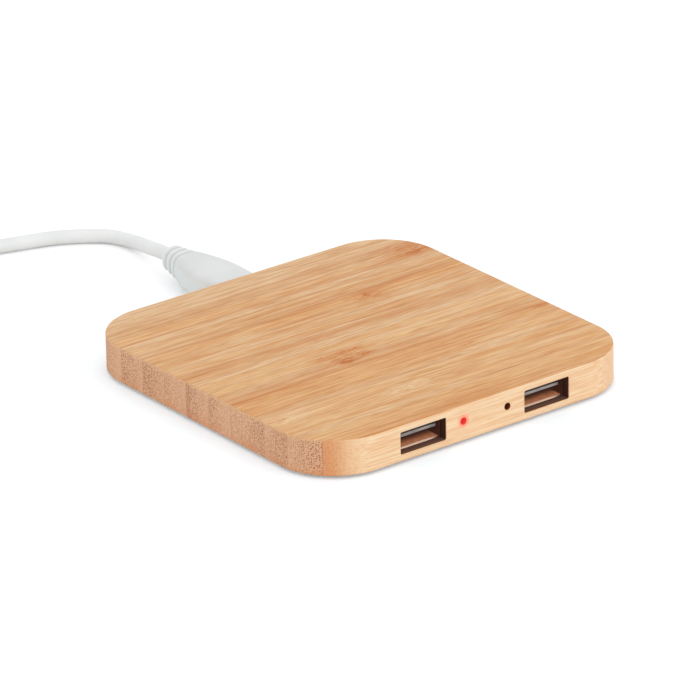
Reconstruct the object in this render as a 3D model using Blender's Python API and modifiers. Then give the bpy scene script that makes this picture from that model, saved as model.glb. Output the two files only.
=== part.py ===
"""Square bamboo wireless charging pad with two USB-A sockets, and the cable that feeds it.

Metres, +Z up. The front face, which has the sockets, looks along -Y. The cable's plug goes
into the back face along -Y. The origin is the middle of the pad's footprint, at the lower
faces of its feet. The block is milled from below: a pocket takes the circuit board, the
ferrite sheet and the charging coil, and a cover closes it.
"""

import math

import bmesh
import bpy
from mathutils import Matrix, Vector

# Fits
seat_gap = 0.0003  # between a piece and what it rests on, or what goes round it
close_gap = 0.00015  # round a screw's shank, and round the plug's nose in its inlet
cut_overrun = 0.001  # how far a cutter runs past the face that it opens
weld_overlap = 0.0001  # how far a moulded feature starts inside the body that carries it
merge_distance = 0.00001

# Bamboo block and the stack inside it, from the bottom up
pad_side = 0.090
pad_corner_radius = 0.015
edge_round = 0.0003
foot_stand = 0.0006  # the block's height above what the feet stand on
cover_thickness = 0.0011
under_board_space = 0.0006
board_thickness = 0.0010
tallest_part = 0.0014  # under the ferrite sheet
ferrite_thickness = 0.0008
coil_wire = 0.0008
roof_thickness = 0.0017

# Walls of the block
end_wall = 0.0033  # front and back
side_wall = 0.0055
rim_width = 0.0022  # round the cover
board_side_gap = 0.0045  # from the pocket's side walls to the board
board_shift = 0.0003  # the sockets and lamps lie this far right of the middle

# Cover, feet and the screws that the feet hide
foot_radius = 0.0040
foot_seat_depth = 0.0004
foot_round = 0.0002
post_radius = 0.0028
post_inset = 0.0085  # from the pocket's side walls to the posts
post_gap = 0.0012  # from the sockets' backs to the front posts
screw_radius = 0.0010
screw_head_radius = 0.0018
screw_head_height = 0.0009
screw_grip = 0.0029  # thread in the post
screw_point = 0.0006
screw_slot_width = 0.00035
screw_slot_length = 0.0018
screw_slot_depth = 0.0005
boss_radius = 0.0032

# USB-A sockets, sunk in notches of the board
socket_spacing = 0.0348
socket_rise = 0.0016  # the socket's middle above the board's upper face
socket_opening_width = 0.0125
socket_opening_height = 0.00512
socket_shell = 0.0003
socket_length = 0.01485
socket_wall = 0.00245  # the front wall where a socket stands behind it
socket_corner = 0.0005
mouth_margin = 0.0001  # of the milled mouth round the socket's opening
mouth_corner = 0.0004
tab_width = 0.0016
tab_reach = 0.0011
tab_inset = 0.0025
spring_window_length = 0.0060
spring_window_width = 0.0022
spring_window_slit = 0.0004
spring_window_spread = 0.0062
tongue_side_gap = 0.0007  # from the opening's sides to the tongue
tongue_thickness = 0.00184
tongue_drop = 0.00072  # from the opening's upper side to the tongue
tongue_recess = 0.0001
tongue_base_depth = 0.0042
contact_count = 4
contact_pitch = 0.0022
contact_width = 0.0010
contact_thickness = 0.0002
contact_bow = 0.0005
contact_foot = 0.0012
contact_tail = 0.0006  # from the socket's back to the contact's bend

# Lamps behind the holes between the sockets
lamp_spacing = 0.0124
lamp_hole_radius = 0.00085
lamp_radius = 0.0015
lamp_flange_radius = 0.0017
lamp_flange_thickness = 0.0010
lamp_length = 0.0053
lamp_lead = 0.0005
lamp_lead_pitch = 0.0016
lamp_lead_back = 0.0013

# Micro-USB inlet and the plug's metal nose
inlet_x = 0.0008
nose_width = 0.00685
nose_height = 0.0018
nose_shell = 0.00025
nose_length = 0.0052  # in front of the moulded body
nose_seat = 0.0020  # inside the moulded body
inlet_shell = 0.00025
inlet_length = 0.0060
inlet_setback = 0.0006  # of the inlet's mouth from the back face
inlet_corner = 0.0004
inlet_base_depth = 0.0010
inlet_tongue_width = 0.0037
inlet_tongue_thickness = 0.0004
inlet_tongue_length = 0.0036
carrier_side_gap = 0.0004
carrier_setback = 0.0005

# Charging coil on its ferrite sheet
ferrite_gap = 0.0024  # from the sockets' backs to the ferrite sheet
ferrite_margin = 0.0030  # of the sheet outside the winding
coil_pitch = 0.00125
coil_lap_count = 9
coil_start_share = 1 / 3  # of a lap, where the outer lead joins
coil_points_per_lap = 24
lead_inset = 0.0008  # how far the last third of a lap draws in
lead_slot_side = 0.0003
lead_drop_gap = 0.00045  # between the winding and the lead that leaves below it
lead_fall_length = 0.0060
lead_reach = 0.0050  # past the ferrite sheet

# Small parts on the board
charger_side = 0.0050
charger_height = 0.0009
bridge_length = 0.0060
bridge_width = 0.0050
bridge_height = 0.0011
bridge_spread = 0.0200
hub_length = 0.0099
hub_width = 0.0039
hub_height = 0.0014
hub_leg_count = 8
hub_leg_pitch = 0.00127
hub_leg_width = 0.0004
hub_leg_thickness = 0.0002
hub_leg_reach = 0.0011
resonator_count = 4
resonator_length = 0.0032
resonator_width = 0.0025
resonator_height = 0.0013
resonator_pitch = 0.0042
crystal_length = 0.0050
crystal_width = 0.0032
crystal_height = 0.0012
inductor_side = 0.0042
inductor_height = 0.0018
bulk_length = 0.0073
bulk_width = 0.0043
bulk_height = 0.0019
part_corner = 0.0003
row_gap = 0.0050  # between rows of parts
part_inset = 0.0032  # from the board's side edges to the tall parts

# Moulded body of the micro-USB plug
plug_length = 0.0277
plug_width = 0.0122
plug_height = 0.0070
plug_bend = 0.0007  # how far the ribbed tail leans to the right at its end
plug_rib_count = 3
plug_rib_pitch = 0.0023
plug_rib_depth = 0.00025
plug_sides = 28

# Cord
cord_diameter = 0.0034
cord_point_spacing = 0.0070
loop_pitch = 0.0040  # from turn to turn, and from layer to layer
loops_middle_radius = 0.0180
loops_per_layer_share = 3.375
loop_points = 24
tie_thickness = 0.0005
tie_width = 0.0060
tie_corner = 0.0012
tie_angle_share = 300 / 360
tail_run = 0.0290  # from the last loop to the far plug

# Far USB-A plug
far_plug_length = 0.0330
far_plug_width = 0.0157
far_plug_height = 0.0078
far_rib_count = 3
far_rib_pitch = 0.0024
far_rib_depth = 0.0004
far_shell_width = 0.0120
far_shell_height = 0.0045
far_shell_wall = 0.0003
far_shell_length = 0.0187  # in front of the moulded body
far_shell_seat = 0.0030
far_window_side = 0.0023
far_window_inset = 0.0052
far_window_spread = 0.0050
far_carrier_height = 0.0018

# Places that follow from the sizes
half_side = pad_side / 2
cover_low = foot_stand
cover_high = cover_low + cover_thickness
board_low = cover_high + under_board_space
board_high = board_low + board_thickness
part_base = board_high + seat_gap
ferrite_low = part_base + tallest_part + seat_gap
ferrite_high = ferrite_low + ferrite_thickness
coil_z = ferrite_high + seat_gap + coil_wire / 2
pocket_high = coil_z + coil_wire / 2 + seat_gap
pad_high = pocket_high + roof_thickness
pocket_half_x = half_side - side_wall
pocket_half_y = half_side - end_wall
cover_half = half_side - rim_width - seat_gap
board_half_x = pocket_half_x - board_side_gap
board_half_y = pocket_half_y - seat_gap
front_face = -pocket_half_y + seat_gap  # of what stands behind the front wall

socket_z = board_high + socket_rise
socket_half_width = socket_opening_width / 2 + socket_shell
socket_half_height = socket_opening_height / 2 + socket_shell
socket_front = -half_side + socket_wall + seat_gap
socket_back = socket_front + socket_length
ferrite_radius = -socket_back - ferrite_gap
coil_outer_radius = ferrite_radius - ferrite_margin
inlet_half_width = nose_width / 2 + close_gap + inlet_shell
inlet_half_height = nose_height / 2 + close_gap + inlet_shell
port_z = part_base + inlet_half_height
inlet_mouth = half_side - inlet_setback
inlet_back = inlet_mouth - inlet_length
plug_face = half_side + seat_gap
lamp_z = part_base + lamp_flange_radius
post_x = pocket_half_x - post_inset
post_y = -socket_back - post_gap - post_radius
foot_places = [(x, y) for y in (-post_y, post_y) for x in (-post_x, post_x)]
sides = {"left": -1, "right": 1}

# Colours of the finishes: colour, roughness, metallic
finishes = {
    "bamboo": ((0.75, 0.46, 0.22), 0.55, 0.0),
    "cover_plastic": ((0.80, 0.78, 0.72), 0.50, 0.0),
    "rubber": ((0.06, 0.06, 0.06), 0.80, 0.0),
    "steel": ((0.62, 0.62, 0.60), 0.30, 1.0),
    "board": ((0.03, 0.20, 0.08), 0.45, 0.0),
    "white_plastic": ((0.80, 0.82, 0.82), 0.45, 0.0),
    "contact": ((0.83, 0.62, 0.25), 0.30, 1.0),
    "red_lamp": ((0.80, 0.05, 0.04), 0.20, 0.0),
    "clear_lamp": ((0.75, 0.75, 0.70), 0.15, 0.0),
    "copper": ((0.72, 0.34, 0.16), 0.35, 1.0),
    "ferrite": ((0.05, 0.05, 0.055), 0.70, 0.0),
    "chip": ((0.02, 0.02, 0.022), 0.50, 0.0),
    "capacitor": ((0.45, 0.32, 0.20), 0.45, 0.0),
    "cord": ((0.80, 0.81, 0.80), 0.50, 0.0),
}

parts = None  # the two collections, made by main
cutters = None


# Modelling helpers


def add_object(name, mesh, collection):
    piece = bpy.data.objects.new(name, mesh)
    collection.objects.link(piece)
    return piece


def paint(piece, finish):
    """Gives the piece a material of its own."""
    colour, roughness, metallic = finishes[finish]
    material = bpy.data.materials.new(f"{piece.name}_{finish}")
    material.use_nodes = True
    shader = material.node_tree.nodes["Principled BSDF"]
    shader.inputs["Base Color"].default_value = (*colour, 1.0)
    shader.inputs["Roughness"].default_value = roughness
    shader.inputs["Metallic"].default_value = metallic
    piece.data.materials.append(material)


def mesh_of(shape, name):
    mesh = bpy.data.meshes.new(name)
    shape.to_mesh(mesh)
    shape.free()
    return mesh


def add_part(name, shape, finish, round_piece=False):
    """A sub-part from a bmesh shape."""
    piece = add_object(name, mesh_of(shape, name), parts)
    if round_piece:
        piece.data.shade_smooth()
        piece.data.set_sharp_from_angle(angle=math.radians(35))
    paint(piece, finish)
    return piece


def add_cutter(name, shape):
    """A shape that only cuts or joins, and isn't part of the object."""
    piece = add_object(name, mesh_of(shape, name), cutters)
    piece.hide_render = True
    piece.display_type = "WIRE"
    return piece


def combine(piece, name, shape, operation):
    """Cuts a shape out of the piece, or joins one to it, with an exact Boolean."""
    boolean = piece.modifiers.new(name, "BOOLEAN")
    boolean.operation = operation
    boolean.solver = "EXACT"
    boolean.object = add_cutter(f"{piece.name}_{name}", shape)
    return boolean.object


def cut(piece, name, shape):
    return combine(piece, name, shape, "DIFFERENCE")


def join(piece, name, shape):
    return combine(piece, name, shape, "UNION")


def gather(shapes):
    """One bmesh from shapes that don't touch each other."""
    whole = bmesh.new()
    for shape in shapes:
        mesh = mesh_of(shape, "gathered")
        whole.from_mesh(mesh)
        bpy.data.meshes.remove(mesh)
    return whole


def block(low, high, corner_radius=0.0, along=2, corner_steps=4):
    """A box between two corners, with its four edges along one axis rounded."""
    low, high = Vector(low), Vector(high)
    shape = bmesh.new()
    bmesh.ops.create_cube(shape, size=1)
    place = Matrix.LocRotScale((low + high) / 2, None, high - low)
    bmesh.ops.transform(shape, matrix=place, verts=shape.verts)
    if corner_radius > 0:
        length = (high - low)[along]
        edges = [
            edge
            for edge in shape.edges
            if abs((edge.verts[0].co - edge.verts[1].co)[along]) > length / 2
        ]
        bmesh.ops.bevel(
            shape,
            geom=edges,
            offset=corner_radius,
            offset_type="OFFSET",
            segments=corner_steps,
            profile=0.5,
            affect="EDGES",
        )
    return shape


def middle_block(middle, size, **rounding):
    """A box given by its middle and its size."""
    middle, half = Vector(middle), Vector(size) / 2
    return block(middle - half, middle + half, **rounding)


def rod(start, end, radius, segments=24):
    """A cylinder between two points."""
    start, end = Vector(start), Vector(end)
    turn = Vector((0, 0, 1)).rotation_difference(end - start)
    shape = bmesh.new()
    bmesh.ops.create_cone(
        shape,
        cap_ends=True,
        segments=segments,
        radius1=radius,
        radius2=radius,
        depth=(end - start).length,
        matrix=Matrix.LocRotScale((start + end) / 2, turn, None),
    )
    return shape


def turned(name, profile, finish, steps=24):
    """A solid of revolution about its own Z. The profile runs from the top down, at +X."""
    mesh = bpy.data.meshes.new(name)
    edges = [(i, i + 1) for i in range(len(profile) - 1)]
    mesh.from_pydata([(radius, 0.0, height) for radius, height in profile], edges, [])
    piece = add_object(name, mesh, parts)
    screw = piece.modifiers.new("turn", "SCREW")
    screw.steps = screw.render_steps = steps
    screw.use_merge_vertices = True
    screw.merge_threshold = merge_distance
    screw.use_smooth_shade = True
    paint(piece, finish)
    return piece


def arc_profile(middle_radius, middle_height, radius, start_share, end_share, steps):
    """Profile points on an arc, its ends given as shares of a full circle."""
    points = []
    for step in range(steps + 1):
        angle = math.tau * (start_share + (end_share - start_share) * step / steps)
        points.append(
            (middle_radius + radius * math.cos(angle), middle_height + radius * math.sin(angle))
        )
    return points


def tube(name, points, diameter, finish, resolution=2):
    """A round tube along straight steps between points, with filled ends."""
    curve = bpy.data.curves.new(name, "CURVE")
    curve.dimensions = "3D"
    curve.bevel_depth = diameter / 2
    curve.bevel_resolution = resolution
    curve.use_fill_caps = True
    spline = curve.splines.new("POLY")
    spline.points.add(len(points) - 1)
    for spline_point, place in zip(spline.points, points, strict=True):
        spline_point.co = (*place, 1.0)
    spline.use_smooth = True
    piece = add_object(name, curve, parts)
    paint(piece, finish)
    return piece


def ribbon(name, path, width, thickness, finish):
    """A bent strip of sheet metal: the path lies in the YZ plane and the strip spans X."""
    mesh = bpy.data.meshes.new(name)
    points = [(side * width / 2, y, z) for y, z in path for side in (-1, 1)]
    faces = [(2 * i, 2 * i + 1, 2 * i + 3, 2 * i + 2) for i in range(len(path) - 1)]
    mesh.from_pydata(points, [], faces)
    piece = add_object(name, mesh, parts)
    solidify = piece.modifiers.new("sheet", "SOLIDIFY")
    solidify.thickness = thickness
    solidify.offset = 0.0
    solidify.use_even_offset = True
    paint(piece, finish)
    return piece


def superellipse(half_width, half_height, squareness, count):
    """Points of a section: squareness 2 is an ellipse, and more is nearer to a rectangle."""
    points = []
    for step in range(count):
        angle = math.tau * step / count
        across, up = math.cos(angle), math.sin(angle)
        points.append(
            (
                math.copysign(abs(across) ** (2 / squareness), across) * half_width,
                math.copysign(abs(up) ** (2 / squareness), up) * half_height,
            )
        )
    return points


def loft(sections, count):
    """A closed skin through sections (y, shift in x, half width, half height, squareness)."""
    shape = bmesh.new()
    rings = []
    for y, shift, half_width, half_height, squareness in sections:
        outline = superellipse(half_width, half_height, squareness, count)
        rings.append([shape.verts.new((shift + x, y, z)) for x, z in outline])
    for ring, following in zip(rings, rings[1:], strict=False):
        for i in range(count):
            j = (i + 1) % count
            shape.faces.new((ring[i], following[i], following[j], ring[j]))
    shape.faces.new(rings[0])
    shape.faces.new(rings[-1][::-1])
    bmesh.ops.recalc_face_normals(shape, faces=shape.faces)
    return shape


def smooth_share(share):
    """Rises from 0 to 1 with level ends."""
    return share * share * (3 - 2 * share)


def curve_through(places, spacing):
    """Evenly spaced points on a smooth curve through the places (Catmull-Rom)."""
    places = [Vector(place) for place in places]
    padded = [2 * places[0] - places[1], *places, 2 * places[-1] - places[-2]]
    fine, steps = [], 16
    for before, start, end, after in zip(padded, padded[1:], padded[2:], padded[3:], strict=False):
        for step in range(steps):
            t = step / steps
            fine.append(
                (
                    2 * start
                    + (end - before) * t
                    + (2 * before - 5 * start + 4 * end - after) * t**2
                    + (3 * start - before - 3 * end + after) * t**3
                )
                / 2
            )
    fine.append(places[-1])
    run = [0.0]
    for start, end in zip(fine, fine[1:], strict=False):
        run.append(run[-1] + (end - start).length)
    count = max(2, round(run[-1] / spacing))
    points, k = [], 0
    for step in range(count + 1):
        goal = run[-1] * step / count
        while k < len(run) - 2 and run[k + 1] < goal:
            k += 1
        share = (goal - run[k]) / (run[k + 1] - run[k])
        points.append(fine[k].lerp(fine[k + 1], share))
    return points


def length_of(points):
    return sum(
        (Vector(b) - Vector(a)).length for a, b in zip(points, points[1:], strict=False)
    )


def least_gap(points, diameter):
    """The least gap of a wound tube to itself, measured on its centreline points."""
    points = [Vector(point) for point in points]
    step = max((b - a).length for a, b in zip(points, points[1:], strict=False))
    apart = math.ceil(2.5 * diameter / step) + 1
    least = math.inf
    for i, start in enumerate(points):
        for k in range(i + apart, len(points) - 1):
            along = points[k + 1] - points[k]
            share = max(0.0, min(1.0, (start - points[k]).dot(along) / along.length_squared))
            least = min(least, (points[k] + share * along - start).length)
    return least - diameter


# Bamboo block and cover


def make_housing():
    """The block: rounded plate, milled from below, with its mouths, holes and posts."""
    plate = block(
        (-half_side, -half_side, foot_stand),
        (half_side, half_side, pad_high),
        corner_radius=pad_corner_radius,
        corner_steps=12,
    )
    housing = add_part("bamboo_housing", plate, "bamboo", round_piece=True)
    bevel = housing.modifiers.new("edge_round", "BEVEL")
    bevel.limit_method = "ANGLE"
    bevel.width = edge_round
    bevel.segments = 2

    rebate_half = half_side - rim_width
    rebate = block(
        (-rebate_half, -rebate_half, foot_stand - cut_overrun),
        (rebate_half, rebate_half, cover_high + seat_gap),
        corner_radius=pad_corner_radius - rim_width,
        corner_steps=8,
    )
    cut(housing, "rebate", rebate)
    pocket = block(
        (-pocket_half_x, -pocket_half_y, foot_stand - cut_overrun),
        (pocket_half_x, pocket_half_y, pocket_high),
        corner_radius=pad_corner_radius - end_wall,
        corner_steps=8,
    )
    cut(housing, "pocket", pocket)
    posts = [
        rod((x, y, part_base), (x, y, pocket_high + cut_overrun), post_radius)
        for x, y in foot_places
    ]
    join(housing, "posts", gather(posts))
    hole_high = part_base + screw_grip + seat_gap
    holes = [
        rod((x, y, part_base - cut_overrun), (x, y, hole_high), screw_radius + close_gap, 16)
        for x, y in foot_places
    ]
    cut(housing, "screw_holes", gather(holes))

    bays, mouths, lamp_holes = [], [], []
    for side in sides.values():
        x = board_shift + side * socket_spacing / 2
        bay_half = socket_half_width + seat_gap
        bay_high = socket_z + socket_half_height + seat_gap
        bays.append(
            block(
                (x - bay_half, socket_front - seat_gap, cover_high),
                (x + bay_half, socket_back + seat_gap, bay_high),
            )
        )
        mouth_half_width = socket_opening_width / 2 + mouth_margin
        mouth_half_height = socket_opening_height / 2 + mouth_margin
        mouths.append(
            block(
                (x - mouth_half_width, -half_side - cut_overrun, socket_z - mouth_half_height),
                (x + mouth_half_width, -pocket_half_y + cut_overrun, socket_z + mouth_half_height),
                corner_radius=mouth_corner,
                along=1,
            )
        )
        lamp_x = board_shift + side * lamp_spacing / 2
        lamp_holes.append(
            rod(
                (lamp_x, -half_side - cut_overrun, lamp_z),
                (lamp_x, -pocket_half_y + cut_overrun, lamp_z),
                lamp_hole_radius,
            )
        )
    cut(housing, "socket_bays", gather(bays))
    cut(housing, "socket_mouths", gather(mouths))
    cut(housing, "lamp_holes", gather(lamp_holes))
    port_half_width = inlet_half_width + seat_gap
    port_half_height = inlet_half_height + seat_gap
    port = block(
        (inlet_x - port_half_width, pocket_half_y - cut_overrun, port_z - port_half_height),
        (inlet_x + port_half_width, half_side + cut_overrun, port_z + port_half_height),
        corner_radius=inlet_corner + seat_gap,
        along=1,
    )
    cut(housing, "inlet_port", port)


def make_cover():
    """Plate that closes the pocket, with a boss round each screw and a seat for each foot."""
    plate = block(
        (-cover_half, -cover_half, cover_low),
        (cover_half, cover_half, cover_high),
        corner_radius=pad_corner_radius - rim_width - seat_gap,
        corner_steps=8,
    )
    cover = add_part("bottom_cover", plate, "cover_plastic")
    boss_high = board_low - seat_gap
    bosses = [
        rod((x, y, cover_high - cut_overrun / 2), (x, y, boss_high), boss_radius)
        for x, y in foot_places
    ]
    join(cover, "bosses", gather(bosses))
    seat_high = cover_low + foot_seat_depth
    seats = [
        rod((x, y, cover_low - cut_overrun), (x, y, seat_high), foot_radius + seat_gap)
        for x, y in foot_places
    ]
    cut(cover, "foot_seats", gather(seats))
    shanks = [
        rod((x, y, cover_low), (x, y, boss_high + cut_overrun), screw_radius + close_gap, 16)
        for x, y in foot_places
    ]
    cut(cover, "screw_holes", gather(shanks))
    sinks = []
    for x, y in foot_places:
        sink = bmesh.new()
        bmesh.ops.create_cone(
            sink,
            cap_ends=True,
            segments=24,
            radius1=screw_head_radius + close_gap,
            radius2=screw_radius + close_gap,
            depth=screw_head_height,
            matrix=Matrix.Translation((x, y, seat_high + screw_head_height / 2)),
        )
        sinks.append(sink)
    cut(cover, "countersinks", gather(sinks))
    reliefs = []
    for side in sides.values():
        x = board_shift + side * socket_spacing / 2
        half = socket_half_width + seat_gap
        relief_low = socket_z - socket_half_height - seat_gap
        reliefs.append(
            block(
                (x - half, socket_front - seat_gap, relief_low),
                (x + half, socket_back + seat_gap, cover_high + cut_overrun),
            )
        )
    cut(cover, "socket_reliefs", gather(reliefs))


def make_feet():
    """Rubber discs, and under each a countersunk screw through cover and board to its post."""
    foot_high = cover_low + foot_seat_depth - seat_gap
    foot_profile = [
        (0.0, foot_high),
        (foot_radius - foot_round, foot_high),
        (foot_radius, foot_high - foot_round),
        (foot_radius, foot_round),
        (foot_radius - foot_round, 0.0),
        (0.0, 0.0),
    ]
    head_low = cover_low + foot_seat_depth + close_gap / 2
    neck = head_low + screw_head_height
    tip = part_base + screw_grip
    screw_profile = [
        (0.0, tip),
        (screw_radius / 2, tip - screw_point / 2),
        (screw_radius, tip - screw_point),
        (screw_radius, neck),
        (screw_head_radius, head_low),
        (0.0, head_low),
    ]
    for number, (x, y) in enumerate(foot_places, start=1):
        foot = turned(f"foot_{number}", foot_profile, "rubber")
        foot.location = (x, y, 0.0)
        screw = turned(f"cover_screw_{number}", screw_profile, "steel", steps=16)
        screw.location = (x, y, 0.0)
        slot_low = head_low - cut_overrun
        slot_high = head_low + screw_slot_depth
        for turn, (long, short) in enumerate(
            ((screw_slot_length, screw_slot_width), (screw_slot_width, screw_slot_length))
        ):
            slot = block(
                (-long / 2, -short / 2, slot_low),
                (long / 2, short / 2, slot_high),
            )
            cut(screw, f"slot_{turn}", slot).location = (x, y, 0.0)


# Circuit board and what stands on it


def make_board():
    board = add_part(
        "circuit_board",
        block(
            (-board_half_x, -board_half_y, board_low),
            (board_half_x, board_half_y, board_high),
            corner_radius=pad_corner_radius - end_wall - seat_gap,
            corner_steps=6,
        ),
        "board",
    )
    notches = []
    for side in sides.values():
        x = board_shift + side * socket_spacing / 2
        half = socket_half_width + seat_gap
        notches.append(
            block(
                (x - half, -board_half_y - cut_overrun, board_low - cut_overrun),
                (x + half, socket_back + seat_gap, board_high + cut_overrun),
            )
        )
    cut(board, "socket_notches", gather(notches))
    holes = [
        rod(
            (x, y, board_low - cut_overrun),
            (x, y, board_high + cut_overrun),
            screw_radius + seat_gap,
            16,
        )
        for x, y in foot_places
    ]
    cut(board, "screw_holes", gather(holes))


def make_socket(name, x):
    """A USB-A socket: a folded shell with springs and board tabs, a tongue and its contacts."""
    low = Vector((x - socket_half_width, socket_front, socket_z - socket_half_height))
    high = Vector((x + socket_half_width, socket_back, socket_z + socket_half_height))
    shell = add_part(
        f"usb_socket_shell_{name}",
        block(low, high, corner_radius=socket_corner, along=1),
        "steel",
    )
    half_opening = Vector((socket_opening_width / 2, 0, socket_opening_height / 2))
    middle = Vector((x, 0, socket_z))
    opening = block(
        middle - half_opening + Vector((0, socket_front - cut_overrun, 0)),
        middle + half_opening + Vector((0, socket_back + cut_overrun, 0)),
        corner_radius=socket_corner - socket_shell,
        along=1,
    )
    cut(shell, "opening", opening)
    tabs = []
    for side in (-1, 1):
        edge = x + side * socket_half_width
        across = sorted((edge - side * socket_shell / 2, edge + side * tab_reach))
        for y in (socket_front + tab_inset, socket_back - tab_inset - tab_width):
            tabs.append(
                block(
                    (across[0], y, part_base),
                    (across[1], y + tab_width, part_base + socket_shell),
                )
            )
    join(shell, "tabs", gather(tabs))
    for side, label in ((-1, "a"), (1, "b")):
        window_x = x + side * spring_window_spread / 2
        window_y = socket_front + tongue_recess + spring_window_slit
        roof = socket_z + socket_half_height
        window = cut(
            shell,
            f"window_{label}",
            block(
                (window_x - spring_window_width / 2, window_y, roof - socket_shell - cut_overrun),
                (
                    window_x + spring_window_width / 2,
                    window_y + spring_window_length,
                    roof + cut_overrun,
                ),
            ),
        )
        leaf_half = spring_window_width / 2 - spring_window_slit
        leaf = block(
            (window_x - leaf_half, window_y + spring_window_slit, roof - 2 * cut_overrun),
            (
                window_x + leaf_half,
                window_y + spring_window_length + cut_overrun,
                roof + 2 * cut_overrun,
            ),
        )
        cut(window, "leaf", leaf)

    tongue_high = socket_z + socket_opening_height / 2 - tongue_drop
    tongue_low = tongue_high - tongue_thickness
    base_front = socket_back - tongue_base_depth
    base_half = half_opening - Vector((seat_gap / 2, 0, seat_gap / 2))
    tongue = add_part(
        f"usb_socket_tongue_{name}",
        block(
            middle - base_half + Vector((0, base_front, 0)),
            middle + base_half + Vector((0, socket_back, 0)),
        ),
        "white_plastic",
    )
    tongue_half = socket_opening_width / 2 - tongue_side_gap
    blade = block(
        (x - tongue_half, socket_front + tongue_recess, tongue_low),
        (x + tongue_half, base_front + weld_overlap, tongue_high),
    )
    join(tongue, "blade", blade)
    strip_z = tongue_low - close_gap - contact_thickness / 2
    strip_front = socket_front + tongue_recess + tongue_drop
    bow_length = (base_front - strip_front) / 2
    tail_y = socket_back + contact_tail
    foot_z = part_base + contact_thickness / 2
    path = [
        (strip_front, strip_z),
        (strip_front + bow_length / 3, strip_z - contact_bow / 2),
        (strip_front + bow_length * 2 / 3, strip_z - contact_bow),
        (strip_front + bow_length, strip_z - contact_bow / 2),
        (base_front - tongue_recess, strip_z),
        (tail_y, strip_z),
        (tail_y + contact_tail / 2, foot_z),
        (tail_y + contact_tail / 2 + contact_foot, foot_z),
    ]
    channels = []
    for number in range(contact_count):
        contact_x = x + (number - (contact_count - 1) / 2) * contact_pitch
        contact = ribbon(
            f"usb_contact_{name}_{number + 1}",
            path,
            contact_width,
            contact_thickness,
            "contact",
        )
        contact.location = (contact_x, 0.0, 0.0)
        clear = Vector((contact_width / 2 + close_gap, 0, contact_thickness / 2 + close_gap))
        strip = Vector((contact_x, 0, strip_z))
        channels.append(
            block(
                strip - clear + Vector((0, base_front - cut_overrun, 0)),
                strip + clear + Vector((0, socket_back + cut_overrun, 0)),
            )
        )
    cut(tongue, "channels", gather(channels))


def make_lamp(name, x, finish):
    """A round lamp lying on the board, its dome behind the hole, its two leads bent down."""
    dome_base = lamp_length - lamp_radius
    profile = arc_profile(0.0, dome_base, lamp_radius, 0.25, 0.0, 5)
    profile[0] = (0.0, lamp_length)
    profile += [
        (lamp_radius, lamp_flange_thickness),
        (lamp_flange_radius, lamp_flange_thickness),
        (lamp_flange_radius, 0.0),
        (0.0, 0.0),
    ]
    lamp = turned(name, profile, finish, steps=20)
    back = front_face + lamp_length
    lamp.location = (x, back, lamp_z)
    lamp.rotation_euler = (math.pi / 2, 0.0, 0.0)
    for side, label in ((-1, "a"), (1, "b")):
        lead_x = x + side * lamp_lead_pitch / 2
        bend = back + lamp_lead_back
        level = block(
            (lead_x - lamp_lead / 2, back - weld_overlap, lamp_z - lamp_lead / 2),
            (lead_x + lamp_lead / 2, bend, lamp_z + lamp_lead / 2),
        )
        join(lamp, f"lead_{label}_level", level)
        drop = block(
            (lead_x - lamp_lead / 2, bend - lamp_lead, part_base),
            (lead_x + lamp_lead / 2, bend, lamp_z),
        )
        join(lamp, f"lead_{label}_drop", drop)


def make_inlet():
    """The micro-USB inlet on the board's back edge: a shell with tabs, and its tongue."""
    shell = add_part(
        "micro_inlet_shell",
        block(
            (inlet_x - inlet_half_width, inlet_back, port_z - inlet_half_height),
            (inlet_x + inlet_half_width, inlet_mouth, port_z + inlet_half_height),
            corner_radius=inlet_corner,
            along=1,
        ),
        "steel",
    )
    inner_half_width = inlet_half_width - inlet_shell
    inner_half_height = inlet_half_height - inlet_shell
    opening = block(
        (inlet_x - inner_half_width, inlet_back - cut_overrun, port_z - inner_half_height),
        (inlet_x + inner_half_width, inlet_mouth + cut_overrun, port_z + inner_half_height),
        corner_radius=inlet_corner - inlet_shell,
        along=1,
    )
    cut(shell, "opening", opening)
    tab_low = board_high + seat_gap
    tabs = []
    for side in (-1, 1):
        edge = inlet_x + side * inlet_half_width
        across = sorted((edge - side * inlet_shell / 2, edge + side * tab_reach))
        tab_y = inlet_back + inlet_base_depth / 2
        tab_z = tab_low + inlet_corner
        tabs.append(
            block(
                (across[0], tab_y, tab_z),
                (across[1], tab_y + tab_width, tab_z + inlet_shell),
            )
        )
    join(shell, "tabs", gather(tabs))
    tongue = add_part(
        "micro_inlet_tongue",
        block(
            (
                inlet_x - inner_half_width + close_gap,
                inlet_back,
                port_z - inner_half_height + close_gap,
            ),
            (
                inlet_x + inner_half_width - close_gap,
                inlet_back + inlet_base_depth,
                port_z + inner_half_height - close_gap,
            ),
            corner_radius=close_gap,
            along=1,
            corner_steps=1,
        ),
        "chip",
    )
    blade_low = port_z + close_gap / 2
    blade = block(
        (
            inlet_x - inlet_tongue_width / 2,
            inlet_back + inlet_base_depth - weld_overlap,
            blade_low,
        ),
        (
            inlet_x + inlet_tongue_width / 2,
            inlet_back + inlet_base_depth + inlet_tongue_length,
            blade_low + inlet_tongue_thickness,
        ),
    )
    join(tongue, "blade", blade)


def board_part(name, x, y, length, width, height, finish):
    """A small part that stands on the board, with slightly rounded corners."""
    shape = block(
        (x - length / 2, y - width / 2, part_base),
        (x + length / 2, y + width / 2, part_base + height),
        corner_radius=part_corner,
        corner_steps=2,
    )
    return add_part(name, shape, finish)


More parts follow.
